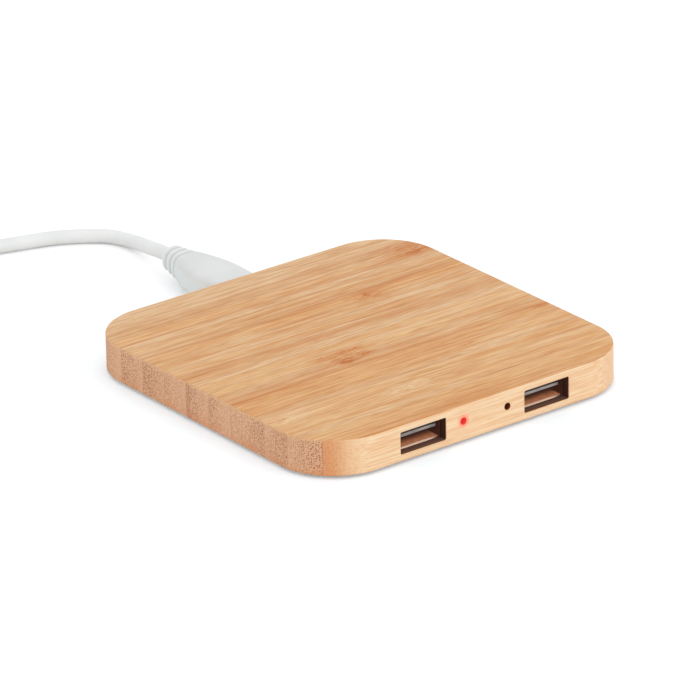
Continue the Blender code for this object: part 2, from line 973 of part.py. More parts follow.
def make_small_parts():
    """The charger's chips and capacitors under the coil, the hub's between the sockets."""
    board_part("charger_chip", 0.0, row_gap, charger_side, charger_side, charger_height, "chip")
    for side, label in ((-1, "left"), (1, "right")):
        board_part(
            f"bridge_chip_{label}",
            side * bridge_spread / 2,
            row_gap,
            bridge_width,
            bridge_length,
            bridge_height,
            "chip",
        )
    for number in range(resonator_count):
        x = (number - (resonator_count - 1) / 2) * resonator_pitch
        board_part(
            f"resonance_capacitor_{number + 1}",
            x,
            -row_gap,
            resonator_length,
            resonator_width,
            resonator_height,
            "capacitor",
        )
    hub_y = socket_back - row_gap / 2
    hub = board_part("hub_chip", board_shift, hub_y, hub_length, hub_width, hub_height, "chip")
    legs = []
    for side in (-1, 1):
        edge = hub_y + side * hub_width / 2
        across = sorted((edge - side * part_corner, edge + side * hub_leg_reach))
        for number in range(hub_leg_count):
            leg_x = board_shift + (number - (hub_leg_count - 1) / 2) * hub_leg_pitch
            legs.append(
                block(
                    (leg_x - hub_leg_width / 2, across[0], part_base),
                    (leg_x + hub_leg_width / 2, across[1], part_base + hub_leg_thickness),
                )
            )
    join(hub, "legs", gather(legs))
    crystal_y = hub_y + hub_width / 2 + hub_leg_reach + row_gap / 2
    board_part(
        "clock_crystal",
        board_shift,
        crystal_y,
        crystal_length,
        crystal_width,
        crystal_height,
        "steel",
    )
    board_part(
        "power_inductor",
        part_inset + inductor_side / 2 - board_half_x,
        0.0,
        inductor_side,
        inductor_side,
        inductor_height,
        "ferrite",
    )
    bulk_x = board_half_x - part_inset - bulk_width / 2
    board_part(
        "bulk_capacitor", bulk_x, row_gap, bulk_width, bulk_length, bulk_height, "capacitor"
    )


# Charging coil


def coil_path():
    """The flat winding in one wire: outer lead, spiral inwards, and the lead back out below.

    The spiral runs anticlockwise at a steady pitch. Its last third of a lap draws in a
    little more, so that the wire can drop below its neighbour and leave along a tangent,
    in the slot of the ferrite sheet.
    """
    start = math.tau * coil_start_share
    laps = coil_lap_count - coil_start_share
    steps = round(laps * coil_points_per_lap)
    drawn_in = coil_points_per_lap // 3
    spiral = []
    for step in range(steps + 1):
        lap = laps * step / steps
        draw = max(0.0, (step - steps + drawn_in) / drawn_in)
        radius = coil_outer_radius - coil_pitch * lap - lead_inset * smooth_share(draw)
        angle = start + math.tau * lap
        spiral.append(Vector((radius * math.cos(angle), radius * math.sin(angle), coil_z)))

    foot_z = part_base + coil_wire / 2
    heading = Vector((-math.sin(start), math.cos(start), 0.0))
    clear_of_sheet = math.sqrt(ferrite_radius**2 - coil_outer_radius**2) + coil_wire
    rise = [(lead_reach, foot_z), (lead_reach / 2, foot_z), (0.0, coil_z)]
    outer = [
        Vector((*(spiral[0] - heading * (clear_of_sheet + reach)).xy, z)) for reach, z in rise
    ]
    outer.append(spiral[0] - heading * clear_of_sheet / 2)

    end = spiral[-1]
    low_z = coil_z - coil_wire - lead_drop_gap
    inner = []
    falls = 6
    for step in range(1, falls + 1):
        share = step / falls
        height = coil_z + (low_z - coil_z) * smooth_share(share)
        inner.append(Vector((end.x, end.y + lead_fall_length * share, height)))
    edge_y = math.sqrt(ferrite_radius**2 - end.x**2) + coil_wire
    inner.append(Vector((end.x, edge_y, low_z)))
    inner.append(Vector((end.x, edge_y + lead_reach / 2, foot_z)))
    inner.append(Vector((end.x, edge_y + lead_reach, foot_z)))
    return outer + spiral + inner


def make_coil():
    path = coil_path()
    print(f"charging coil: least gap to itself {least_gap(path, coil_wire) * 1000:.2f} mm")
    tube("charging_coil", path, coil_wire, "copper", resolution=1)
    sheet = add_part(
        "ferrite_sheet",
        rod((0, 0, ferrite_low), (0, 0, ferrite_high), ferrite_radius, segments=48),
        "ferrite",
        round_piece=True,
    )
    laps = coil_lap_count - coil_start_share
    lead_x = coil_outer_radius - coil_pitch * laps - lead_inset
    half_slot = coil_wire / 2 + lead_slot_side
    slot = block(
        (lead_x - half_slot, -coil_wire, ferrite_low - cut_overrun),
        (lead_x + half_slot, ferrite_radius, ferrite_high + cut_overrun),
    )
    cut(sheet, "lead_slot", slot)


# Plugs and cord


# Shares of the plug's length, width and height, and the squareness, from its face backwards
plug_outline_shares = (
    (0.000, 0.86, 0.94, 4.5),
    (0.021, 0.91, 0.985, 4.5),
    (0.084, 0.95, 1.000, 4.5),
    (0.190, 0.99, 1.000, 4.5),
    (0.305, 1.000, 1.000, 4.5),
    (0.420, 0.970, 1.000, 4.5),
    (0.538, 0.895, 1.000, 4.2),
    (0.643, 0.780, 1.000, 3.8),
    (0.700, 0.715, 0.995, 3.5),
    (0.745, 0.660, 0.980, 3.2),
)
plug_tail_shares = (0.505, 0.850)  # of the width and height, at the last rib
far_outline_shares = (
    (0.000, 0.94, 0.90, 5.0),
    (0.020, 0.985, 0.97, 5.0),
    (0.060, 1.000, 1.000, 5.0),
    (0.200, 1.000, 1.000, 5.0),
    (0.260, 0.970, 0.960, 5.0),
    (0.400, 0.950, 0.930, 5.0),
    (0.540, 0.970, 0.960, 5.0),
    (0.600, 1.000, 1.000, 4.5),
    (0.660, 0.970, 0.980, 4.0),
    (0.710, 0.820, 0.900, 3.4),
    (0.750, 0.560, 0.760, 2.8),
)
far_tail_shares = (0.330, 0.600)


def moulded_plug(name, shares, tail_shares, length, width, height, ribs, bend, face):
    """A moulded plug body, wide in front and narrowing to a ribbed tail round the cord."""
    count, pitch, depth = ribs
    body = [
        (length * along, width / 2 * across, height / 2 * up, squareness)
        for along, across, up, squareness in shares
    ]
    last = body[-1]
    end_width, end_height = width / 2 * tail_shares[0], height / 2 * tail_shares[1]
    rib_start = length - count * pitch
    for number in range(count):
        for along, drop in ((0.0, depth), (0.25, depth), (0.40, 0.0), (0.80, 0.0), (0.95, depth)):
            y = rib_start + (number + along) * pitch
            share = (y - last[0]) / (length - last[0])
            body.append(
                (
                    y,
                    last[1] + (end_width - last[1]) * share - drop,
                    last[2] + (end_height - last[2]) * share - drop,
                    last[3] + (2 - last[3]) * share,
                )
            )
    body.append((length, end_width - depth, end_height - depth, 2.0))
    bend_from = length * shares[-4][0]
    sections = []
    for y, half_width, half_height, squareness in body:
        share = max(0.0, (y - bend_from) / (length - bend_from))
        sections.append((y, bend * share**2, half_width, half_height, squareness))
    piece = add_part(name, loft(sections, plug_sides), "white_plastic", round_piece=True)
    piece.location = face
    return piece


def make_micro_plug():
    """The plug in the back of the pad: moulded body, metal nose and contact carrier."""
    face = Vector((inlet_x, plug_face, port_z))
    ribs = (plug_rib_count, plug_rib_pitch, plug_rib_depth)
    plug = moulded_plug(
        "micro_plug_body",
        plug_outline_shares,
        plug_tail_shares,
        plug_length,
        plug_width,
        plug_height,
        ribs,
        plug_bend,
        face,
    )
    half = Vector((nose_width / 2, 0, nose_height / 2))
    seat = half + Vector((close_gap, 0, close_gap))
    seat_hole = block(
        face - seat - Vector((0, cut_overrun, 0)),
        face + seat + Vector((0, nose_seat + seat_gap, 0)),
    )
    cut(plug, "nose_seat", seat_hole)
    nose = add_part(
        "micro_plug_nose",
        block(
            face - half - Vector((0, nose_length, 0)),
            face + half + Vector((0, nose_seat, 0)),
            corner_radius=inlet_corner - close_gap,
            along=1,
            corner_steps=2,
        ),
        "steel",
    )
    hollow = half - Vector((nose_shell, 0, nose_shell))
    opening = block(
        face - hollow - Vector((0, nose_length + cut_overrun, 0)),
        face + hollow + Vector((0, nose_seat + cut_overrun, 0)),
    )
    cut(nose, "opening", opening)
    carrier_low = port_z - hollow.z + close_gap / 2
    carrier_half = hollow.x - carrier_side_gap
    carrier = block(
        (inlet_x - carrier_half, plug_face - nose_length + carrier_setback, carrier_low),
        (inlet_x + carrier_half, plug_face + nose_seat, port_z - close_gap / 2),
    )
    add_part("micro_plug_carrier", carrier, "chip")


# The cord's way from the plug's tail: right, back, and the share of its fall still to come
cord_route = (
    (0.0000, 0.0000, 1.00),
    (0.0002, 0.0045, 0.96),
    (0.0007, 0.0080, 0.76),
    (0.0017, 0.0125, 0.47),
    (0.0026, 0.0175, 0.16),
    (0.0024, 0.0222, 0.00),
    (0.0004, 0.0263, 0.00),
    (-0.0040, 0.0301, 0.00),
    (-0.0099, 0.0335, 0.00),
    (-0.0180, 0.0362, 0.00),
    (-0.0372, 0.0415, 0.00),
    (-0.0569, 0.0448, 0.00),
    (-0.0735, 0.0460, 0.00),
)


def loops_path(middle, start_z):
    """The put-away loops: in on the lower layer, up in half a turn, out on the upper one."""
    spread = loop_pitch * loops_per_layer_share / 2
    outer = loops_middle_radius + spread
    inner = loops_middle_radius - spread
    points = []
    layers = 2 * loops_per_layer_share + 0.5
    steps = round(layers * loop_points)
    for step in range(steps + 1):
        turn = layers * step / steps
        if turn <= loops_per_layer_share:
            radius, rise = outer - loop_pitch * turn, 0.0
        elif turn <= loops_per_layer_share + 0.5:
            share = turn - loops_per_layer_share
            radius = inner - loop_pitch * (share - 2 * share**2)
            rise = smooth_share(2 * share)
        else:
            radius, rise = inner + loop_pitch * (turn - loops_per_layer_share - 0.5), 1.0
        angle = math.tau * (turn + 0.25)
        points.append(
            Vector(
                (
                    middle.x + radius * math.cos(angle),
                    middle.y + radius * math.sin(angle),
                    start_z + loop_pitch * rise,
                )
            )
        )
    straight = cord_diameter
    points.insert(0, points[0] + Vector((straight, 0.0, 0.0)))
    points.append(points[-1] - Vector((0.0, straight, 0.0)))
    return points


def make_cord():
    """The free cord, the loops with their tie, and the run into the far plug."""
    tail = Vector((inlet_x + plug_bend, plug_face + plug_length + seat_gap, port_z))
    rest_z = cord_diameter / 2
    loops_z = tie_thickness + seat_gap + cord_diameter / 2
    places = [
        Vector((tail.x + right, tail.y + back, rest_z + (port_z - rest_z) * share))
        for right, back, share in cord_route
    ]
    loops_start = places[-1] + Vector((-seat_gap - cord_diameter, 0.0, 0.0))
    places[-1].z = loops_z
    front = curve_through(places, cord_point_spacing)
    tube("cord_front", front, cord_diameter, "cord")

    spread = loop_pitch * loops_per_layer_share / 2
    outer = loops_middle_radius + spread
    middle = Vector((loops_start.x, loops_start.y - outer, 0.0))
    loops = loops_path(middle, loops_z)
    print(f"cord loops: least gap to itself {least_gap(loops, cord_diameter) * 1000:.2f} mm")
    tube("cord_loops", loops, cord_diameter, "cord", resolution=1)

    far_z = far_plug_height / 2
    start = loops[-1] - Vector((0.0, seat_gap, 0.0))
    steps = max(2, round(tail_run / cord_point_spacing))
    run = []
    for step in range(steps + 1):
        share = step / steps
        height = start.z + (far_z - start.z) * smooth_share(share)
        run.append(Vector((start.x, start.y - tail_run * share, height)))
    tube("cord_tail", run, cord_diameter, "cord")
    print(f"cord length {length_of(front) + length_of(loops) + length_of(run):.3f} m")

    tie_angle = math.tau * tie_angle_share
    near = []
    for point in loops:
        arm = point - middle
        away = (math.atan2(arm.y, arm.x) - tie_angle + math.pi) % math.tau - math.pi
        if abs(away) < math.tau / loop_points:
            near.append(arm.xy.length)
    clear = cord_diameter / 2 + seat_gap
    across_tie = math.sqrt(min(near) ** 2 - (tie_width / 2) ** 2)
    low = Vector((across_tie - clear, -tie_width / 2, tie_thickness))
    high = Vector((max(near) + clear, tie_width / 2, loops_z + loop_pitch + clear))
    skin = Vector((tie_thickness, 0.0, tie_thickness))
    tie = add_part(
        "cord_tie",
        block(low - skin, high + skin, corner_radius=tie_corner, along=1),
        "cover_plastic",
    )
    overrun = Vector((0.0, cut_overrun, 0.0))
    window = cut(
        tie,
        "window",
        block(
            low - overrun, high + overrun, corner_radius=tie_corner - tie_thickness, along=1
        ),
    )
    for piece in (tie, window):
        piece.location = middle
        piece.rotation_euler = (0.0, 0.0, tie_angle)
    make_far_plug(Vector((start.x, run[-1].y - seat_gap, far_z)))


def make_far_plug(tail):
    """The USB-A plug at the cord's far end, lying beside the loops."""
    face = tail - Vector((0.0, far_plug_length, 0.0))
    ribs = (far_rib_count, far_rib_pitch, far_rib_depth)
    plug = moulded_plug(
        "usb_a_plug_body",
        far_outline_shares,
        far_tail_shares,
        far_plug_length,
        far_plug_width,
        far_plug_height,
        ribs,
        0.0,
        face,
    )
    half = Vector((far_shell_width / 2, 0, far_shell_height / 2))
    seat = half + Vector((seat_gap, 0, seat_gap))
    hole = block(
        face - seat - Vector((0, cut_overrun, 0)),
        face + seat + Vector((0, far_shell_seat + seat_gap, 0)),
    )
    cut(plug, "shell_seat", hole)
    shell = add_part(
        "usb_a_plug_shell",
        block(
            face - half - Vector((0, far_shell_length, 0)),
            face + half + Vector((0, far_shell_seat, 0)),
            corner_radius=socket_corner,
            along=1,
        ),
        "steel",
    )
    hollow = half - Vector((far_shell_wall, 0, far_shell_wall))
    opening = block(
        face - hollow - Vector((0, far_shell_length + cut_overrun, 0)),
        face + hollow + Vector((0, far_shell_seat + cut_overrun, 0)),
        corner_radius=socket_corner - far_shell_wall,
        along=1,
    )
    cut(shell, "opening", opening)
    windows = []
    for side in (-1, 1):
        window_x = face.x + side * far_window_spread / 2
        window_y = face.y - far_shell_length + far_window_inset
        windows.append(
            block(
                (window_x - far_window_side / 2, window_y, face.z - half.z - cut_overrun),
                (
                    window_x + far_window_side / 2,
                    window_y + far_window_side,
                    face.z + half.z + cut_overrun,
                ),
            )
        )
    cut(shell, "windows", gather(windows))
    carrier_low = face.z - hollow.z + seat_gap
    carrier = block(
        (face.x - hollow.x + seat_gap, face.y - far_shell_length + seat_gap, carrier_low),
        (face.x + hollow.x - seat_gap, face.y + far_shell_seat, carrier_low + far_carrier_height),
    )
    add_part("usb_a_plug_carrier", carrier, "white_plastic")


def main():
    global parts, cutters
    for leftover in list(bpy.data.objects):
        bpy.data.objects.remove(leftover, do_unlink=True)
    parts = bpy.data.collections.new("wireless_charging_pad")
    cutters = bpy.data.collections.new("cutters")
    for collection in (parts, cutters):
        bpy.context.scene.collection.children.link(collection)
    make_housing()
    make_cover()
    make_feet()
    make_board()
    for name, side in sides.items():
        make_socket(name, board_shift + side * socket_spacing / 2)
    make_lamp("lamp_red", board_shift - lamp_spacing / 2, "red_lamp")
    make_lamp("lamp_clear", board_shift + lamp_spacing / 2, "clear_lamp")
    make_inlet()
    make_small_parts()
    make_coil()
    make_micro_plug()
    make_cord()


main()
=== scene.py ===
"""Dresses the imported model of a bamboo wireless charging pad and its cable.

The bamboo block, the feet, the moulded plugs and the cord are fine surfaces worked out with
numpy in place of their plain solids. The sockets, the lamps and the electronics keep their
solids and get procedural finishes. Lengths are in metres, in the model's own frame.
"""

import math

import bmesh
import bpy
import numpy as np
from bpy.props import FloatProperty, FloatVectorProperty, PointerProperty
from mathutils import Matrix, Vector


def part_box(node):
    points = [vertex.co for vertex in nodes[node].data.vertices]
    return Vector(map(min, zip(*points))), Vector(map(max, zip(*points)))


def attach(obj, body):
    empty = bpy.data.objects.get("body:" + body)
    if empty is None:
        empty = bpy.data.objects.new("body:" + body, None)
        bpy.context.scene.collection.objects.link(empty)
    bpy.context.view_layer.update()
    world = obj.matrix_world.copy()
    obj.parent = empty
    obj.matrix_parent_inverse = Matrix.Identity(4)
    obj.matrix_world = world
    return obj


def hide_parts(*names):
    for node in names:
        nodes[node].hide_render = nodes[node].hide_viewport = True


bl_info = {
    "name": "Bamboo Charging Pad",
    "version": (1, 0, 0),
    "blender": (4, 5, 0),
    "location": "3D View > Sidebar > Charging Pad",
    "description": "Builds a bamboo wireless charging pad with its sockets, lamps and cable",
    "category": "Add Mesh",
}

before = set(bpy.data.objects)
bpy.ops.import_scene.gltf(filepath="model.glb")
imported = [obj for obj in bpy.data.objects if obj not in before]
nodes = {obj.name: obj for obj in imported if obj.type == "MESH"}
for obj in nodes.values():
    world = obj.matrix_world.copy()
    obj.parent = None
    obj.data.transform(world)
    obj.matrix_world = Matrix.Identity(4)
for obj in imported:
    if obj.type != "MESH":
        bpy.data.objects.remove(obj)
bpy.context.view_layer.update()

MM = 0.001

# Bamboo block
SIDE = 90 * MM
CORNER_RADIUS = 15 * MM
BLOCK_LOW = 0.6 * MM
BLOCK_HIGH = 9.2 * MM
RIM_WIDTH = 2.2 * MM
REBATE_HIGH = 2.0 * MM
POCKET_HIGH = 7.5 * MM
END_WALL = 3.3 * MM
SOCKET_WALL = 2.45 * MM
SIDE_WALL = 5.5 * MM
SOCKET_PLACES = (-17.1 * MM, 17.7 * MM)
SOCKET_Z = 4.9 * MM
MOUTH_WIDTH = 12.7 * MM
MOUTH_HEIGHT = 5.32 * MM
MOUTH_CORNER = 0.4 * MM
BAY_WIDTH = 13.7 * MM
BAY_BACK = -27.1 * MM
BAY_HIGH = 8.06 * MM
BAY_CORNER = 0.05 * MM
LAMP_PLACES = (-5.9 * MM, 6.5 * MM)
LAMP_Z = 5.3 * MM
LAMP_HOLE_RADIUS = 0.85 * MM
LAMP_FLARE_SHARE = 0.6
PORT_X = 0.8 * MM
PORT_Z = 4.9 * MM
PORT_WIDTH = 8.25 * MM
PORT_HEIGHT = 3.2 * MM
PORT_CORNER = 0.7 * MM
POST_PLACES = [(x, y) for y in (-23.4 * MM, 23.4 * MM) for x in (-31 * MM, 31 * MM)]
POST_LOW = 3.6 * MM
POST_RADIUS = 2.8 * MM
POST_HOLE_RADIUS = 1.15 * MM
POST_HOLE_HIGH = 6.8 * MM
TOP_RING_SHARES = (0.0, 0.2, 0.4, 0.6, 0.8, 0.93)
ROOF_RING_SHARES = (0.6, 0.0)

# Moulded plugs. The tables give how far along, the share of the width, the share of the
# height and the squareness there, and the near plug bends from its fifth row from the end
PLUG_FACE = 45.3 * MM
PLUG_LENGTH = 27.7 * MM
PLUG_WIDTH = 12.2 * MM
PLUG_HEIGHT = 7.0 * MM
PLUG_BEND = 0.7 * MM
PLUG_RIB_PITCH = 2.3 * MM
PLUG_RIB_DEPTH = 0.55 * MM
PLUG_SHARES = (
    (0.0, 0.86, 0.94, 4.5),
    (0.021, 0.91, 0.985, 4.5),
    (0.084, 0.95, 1.0, 4.5),
    (0.19, 0.99, 1.0, 4.5),
    (0.305, 1.0, 1.0, 4.5),
    (0.42, 0.97, 1.0, 4.5),
    (0.538, 0.895, 1.0, 4.2),
    (0.643, 0.78, 1.0, 3.8),
    (0.7, 0.715, 0.995, 3.5),
    (0.745, 0.66, 0.98, 3.2),
    (1.0, 0.505, 0.85, 2.2),
)
FAR_PLUG_LENGTH = 33.0 * MM
FAR_PLUG_WIDTH = 15.7 * MM
FAR_PLUG_HEIGHT = 7.8 * MM
FAR_RIB_PITCH = 2.4 * MM
FAR_RIB_DEPTH = 0.4 * MM
FAR_PLUG_SHARES = (
    (0.0, 0.94, 0.9, 5.0),
    (0.02, 0.985, 0.97, 5.0),
    (0.06, 1.0, 1.0, 5.0),
    (0.2, 1.0, 1.0, 5.0),
    (0.26, 0.97, 0.96, 5.0),
    (0.4, 0.95, 0.93, 5.0),
    (0.54, 0.97, 0.96, 5.0),
    (0.6, 1.0, 1.0, 4.5),
    (0.66, 0.97, 0.98, 4.0),
    (0.71, 0.82, 0.9, 3.4),
    (0.75, 0.56, 0.76, 2.8),
    (1.0, 0.33, 0.6, 2.0),
)
BEND_ROW = -5
RIB_COUNT = 3
RIB_SHAPE = ((0.0, 0.22, 0.42, 0.62, 0.82, 0.97, 1.0), (1.0, 1.0, 0.12, 0.0, 0.12, 1.0, 1.0))

# Cord: the same route as the plain solids follow
CORD_DIAMETER = 3.4 * MM
CORD_START = (0.0015, 0.0733, 0.0049)
CORD_ROUTE = (
    (0.0, 0.0, 1.0),
    (0.0002, 0.0045, 0.96),
    (0.0007, 0.008, 0.76),
    (0.0017, 0.0125, 0.47),
    (0.0026, 0.0175, 0.16),
    (0.0024, 0.0222, 0.0),
    (0.0004, 0.0263, 0.0),
    (-0.004, 0.0301, 0.0),
    (-0.0099, 0.0335, 0.0),
    (-0.018, 0.0362, 0.0),
    (-0.0372, 0.0415, 0.0),
    (-0.0569, 0.0448, 0.0),
    (-0.0735, 0.046, 0.0),
)
CORD_REST_Z = 0.0017
LOOPS_Z = 0.0025
LOOP_PITCH = 0.0040
LOOPS_MIDDLE_RADIUS = 0.0180
LOOPS_PER_LAYER = 3.375
TAIL_RUN = 0.0290
FAR_PLUG_Z = 0.0039
TOUCH_GAP = 0.0003
CORD_SPACING = 1.4 * MM
LOOP_POINTS = 700
TAIL_POINTS = 40

# Feet
FOOT_RADIUS = 4.0 * MM
FOOT_HIGH = 0.7 * MM
FOOT_EDGE = 0.2 * MM

# The camera at the photograph's view, the key lamp and the ground
CAMERA_AZIMUTH = -37.362
CAMERA_ELEVATION = 23.371
CAMERA_ROLL = -1.123
CAMERA_DISTANCE = 1.43303
CAMERA_TARGET = (-0.002666, -0.000238, 0.0066)
CAMERA_LENS = 328.21
SENSOR_WIDTH = 36.0
LAMP_PLACE = (0.35, -1.2, 0.75)
LAMP_SIZE = 1.2
GROUND_REACH = 3.0
GROUND_Z = -0.1 * MM
GROUND_LIGHT_NEAR = (0.175, 0.25, 0.285, 1.0)
GROUND_LIGHT_BEHIND = (0.215, 0.22, 0.225, 1.0)

# Points of a surface this near to each other are one, and a row this small is a pole
MERGE_DISTANCE = 1e-7
POLE_SIZE = 1e-6


# Surfaces


def joined(*parts):
    """Points from their coordinates, or faces from their corners."""
    return np.stack(np.broadcast_arrays(*parts), -1)


def new_object(name, data):
    """An object in the scene."""
    item = bpy.data.objects.new(name, data)
    bpy.context.scene.collection.objects.link(item)
    return item


def surface(name, grid, smooth_angle=30.0):
    """A closed mesh from rows of points that run round it.

    Point (i, j) joins (i, j + 1) and (i + 1, j), and the last column joins the first. The
    first and last rows are filled, or are poles where all their points meet.
    """
    rows, columns = grid.shape[:2]
    i, j = np.meshgrid(np.arange(rows - 1), np.arange(columns), indexing="ij")
    k = (j + 1) % columns
    here, after = i * columns, (i + 1) * columns
    faces = joined(here + j, here + k, after + k, after + j).reshape(-1, 4).tolist()
    for row in (0, rows - 1):
        if np.ptp(grid[row], axis=0).max() > POLE_SIZE:
            faces.append((row * columns + np.arange(columns)).tolist())
    mesh = bpy.data.meshes.new(name)
    mesh.from_pydata(grid.reshape(-1, 3).tolist(), [], faces)
    shape = bmesh.new()
    shape.from_mesh(mesh)
    bmesh.ops.remove_doubles(shape, verts=shape.verts, dist=MERGE_DISTANCE)
    bmesh.ops.recalc_face_normals(shape, faces=shape.faces)
    shape.to_mesh(mesh)
    shape.free()
    mesh.shade_smooth()
    mesh.set_sharp_from_angle(angle=math.radians(smooth_angle))
    return new_object(name, mesh)


def rounded_rows(rows, axis, steps=16):
    """Rounded rectangles, one for each row, as a grid of points.

    A row gives the middle across and up, the half width and half height, the corner radius
    and the place along the axis. A corner's points lie on a quarter circle round the
    rectangle's corner, drawn in by the radius.
    """
    across, up, half_width, half_height, radius, along = np.asarray(rows, float).T[:, :, None]
    corner = np.repeat(np.arange(4), steps + 1)
    angle = (corner + np.tile(np.linspace(0, 1, steps + 1), 4)) * np.pi / 2
    side = np.where(np.isin(corner, (0, 3)), 1.0, -1.0)
    rise = np.where(np.isin(corner, (0, 1)), 1.0, -1.0)
    u = across + side * (half_width - radius) + radius * np.cos(angle)
    v = up + rise * (half_height - radius) + radius * np.sin(angle)
    return joined(*((along, u, v), (u, along, v), (u, v, along))[axis])


def circle_rows(across, up, profile, axis, steps=16):
    """Circles along an axis, from a profile of radius and place."""
    rows = [(across, up, radius, radius, radius, along) for radius, along in profile]
    return rounded_rows(rows, axis, steps)


def quarter(radius, steps=5):
    """Points of a quarter round: how far in, and how far down, from level to upright."""
    angle = np.linspace(0, np.pi / 2, steps + 1)
    return joined(radius * (1 - np.sin(angle)), radius * (1 - np.cos(angle)))


def superellipse_rows(x, y, z, half_width, half_height, squareness, sides=64):
    """Sections along Y: |x / width| ** n + |z / height| ** n = 1, with n the squareness."""
    angle = np.linspace(0, 2 * np.pi, sides, endpoint=False)[None, :]
    power = 2 / squareness[:, None]
    across = np.sign(np.cos(angle)) * np.abs(np.cos(angle)) ** power
    up = np.sign(np.sin(angle)) * np.abs(np.sin(angle)) ** power
    return joined(
        x[:, None] + half_width[:, None] * across, y[:, None], z + half_height[:, None] * up
    )


def curve_through(points, spacing):
    """Evenly spaced points on the Catmull-Rom curve through the points."""
    points = np.asarray(points, float)
    padded = np.vstack([2 * points[0] - points[1], points, 2 * points[-1] - points[-2]])
    before, start, end, after = (padded[k : len(padded) - 3 + k, None] for k in range(4))
    t = np.linspace(0, 1, 24, endpoint=False)[None, :, None]
    fine = (
        2 * start
        + (end - before) * t
        + (2 * before - 5 * start + 4 * end - after) * t**2
        + (3 * start - before - 3 * end + after) * t**3
    ) / 2
    return even(np.vstack([fine.reshape(-1, 3), points[-1:]]), spacing)


def even(points, spacing):
    """The same line with evenly spaced points."""
    run = np.append(0, np.cumsum(np.linalg.norm(np.diff(points, axis=0), axis=1)))
    goals = np.linspace(0, run[-1], max(2, round(run[-1] / spacing)) + 1)
    return joined(*(np.interp(goals, run, points[:, axis]) for axis in range(3)))


def tube_rows(path, radius, sides=20):
    """Circles square to a path that is never upright: side = along x up, rise = side x along."""
    along = np.gradient(path, axis=0)
    along /= np.linalg.norm(along, axis=1, keepdims=True)
    side = np.cross(along, (0, 0, 1))
    side /= np.linalg.norm(side, axis=1, keepdims=True)
    rise = np.cross(side, along)
    angle = np.linspace(0, 2 * np.pi, sides, endpoint=False)[None, :, None]
    ring = side[:, None] * np.cos(angle) + rise[:, None] * np.sin(angle)
    return path[:, None] + radius * ring


def combine(piece, tools, operation):
    """Cuts the tools out of the piece, or joins them to it, and removes them."""
    for tool in tools:
        modifier = piece.modifiers.new(tool.name, "BOOLEAN")
        modifier.operation = operation
        modifier.solver = "EXACT"
        modifier.object = tool
    graph = bpy.context.evaluated_depsgraph_get()
    mesh = bpy.data.meshes.new_from_object(piece.evaluated_get(graph))
    piece.modifiers.clear()
    piece.data = mesh
    for tool in tools:
        bpy.data.objects.remove(tool)
    mesh.shade_smooth()
    mesh.set_sharp_from_angle(angle=math.radians(30))


def dress(piece, body, slot, material, *replaced):
    """Puts the finish on the piece and fastens it to its body."""
    piece.data.materials.clear()
    piece.data.materials.append(material)
    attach(piece, body)
    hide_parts(*replaced)


def repaint(material, *names):
    """Gives solids that stay as they are their finish."""
    for name in names:
        mesh = nodes[name].data
        mesh.materials.clear()
        mesh.materials.append(material)


# Finishes


def tint(red, green, blue):
    """A colour from its display values, 0 to 255."""
    share = np.array([red, green, blue]) / 255
    linear = np.where(share <= 0.04045, share / 12.92, ((share + 0.055) / 1.055) ** 2.4)
    return (*linear.tolist(), 1.0)


def operators(operation):
    """The methods for a Math node of two values: as written, and reflected."""

    def plain(self, other):
        return self.math(operation, other)

    def reflected(self, other):
        return add_node(self.tree, "Math", {"operation": operation}, {0: other, 1: self})

    return plain, reflected


class Line:
    """A value in a material: sums on it add Math nodes."""

    def __init__(self, tree, socket):
        self.tree = tree
        self.socket = socket

    def math(self, operation, *others):
        inputs = dict(enumerate((self, *others)))
        return add_node(self.tree, "Math", {"operation": operation}, inputs)

    __add__, __radd__ = operators("ADD")
    __sub__, __rsub__ = operators("SUBTRACT")
    __mul__, __rmul__ = operators("MULTIPLY")
    __truediv__, __rtruediv__ = operators("DIVIDE")
    __pow__, __rpow__ = operators("POWER")

    def __abs__(self):
        return self.math("ABSOLUTE")

    def rise(self, low, high):
        """0 before low, 1 past high and smooth between. It falls where low is the larger."""
        inputs = {"Value": self, "From Min": low, "From Max": high}
        settings = {"interpolation_type": "SMOOTHSTEP"}
        return add_node(self.tree, "MapRange", settings, inputs)

    def between(self, start, end):
        """Rises over the first range and falls over the second."""
        return self.rise(*start) * (1.0 - self.rise(*end))

    def capped(self):
        return self.math("MINIMUM", 1.0)

    def hump(self, middle, width):
        """1 at the middle, falling to 0 on both sides: exp(-((v - middle) / width) ** 2)."""
        share = (self - middle) / width
        return (share * share * -1.0).math("EXPONENT")


def add_node(tree, kind, settings=None, inputs=None, output=0):
    """A node with its settings, then the values or links of its sockets."""
    node = tree.nodes.new(f"ShaderNode{kind}")
    for name, value in (settings or {}).items():
        if name == "stops":
            elements = node.color_ramp.elements
            elements.remove(elements[-1])
            elements[0].position, elements[0].color = value[0]
            for place, colour in value[1:]:
                elements.new(place).color = colour
        else:
            setattr(node, name, value)
    for name, value in (inputs or {}).items():
        if isinstance(value, Line):
            tree.links.new(value.socket, node.inputs[name])
        else:
            node.inputs[name].default_value = value
    return Line(tree, node.outputs[output])


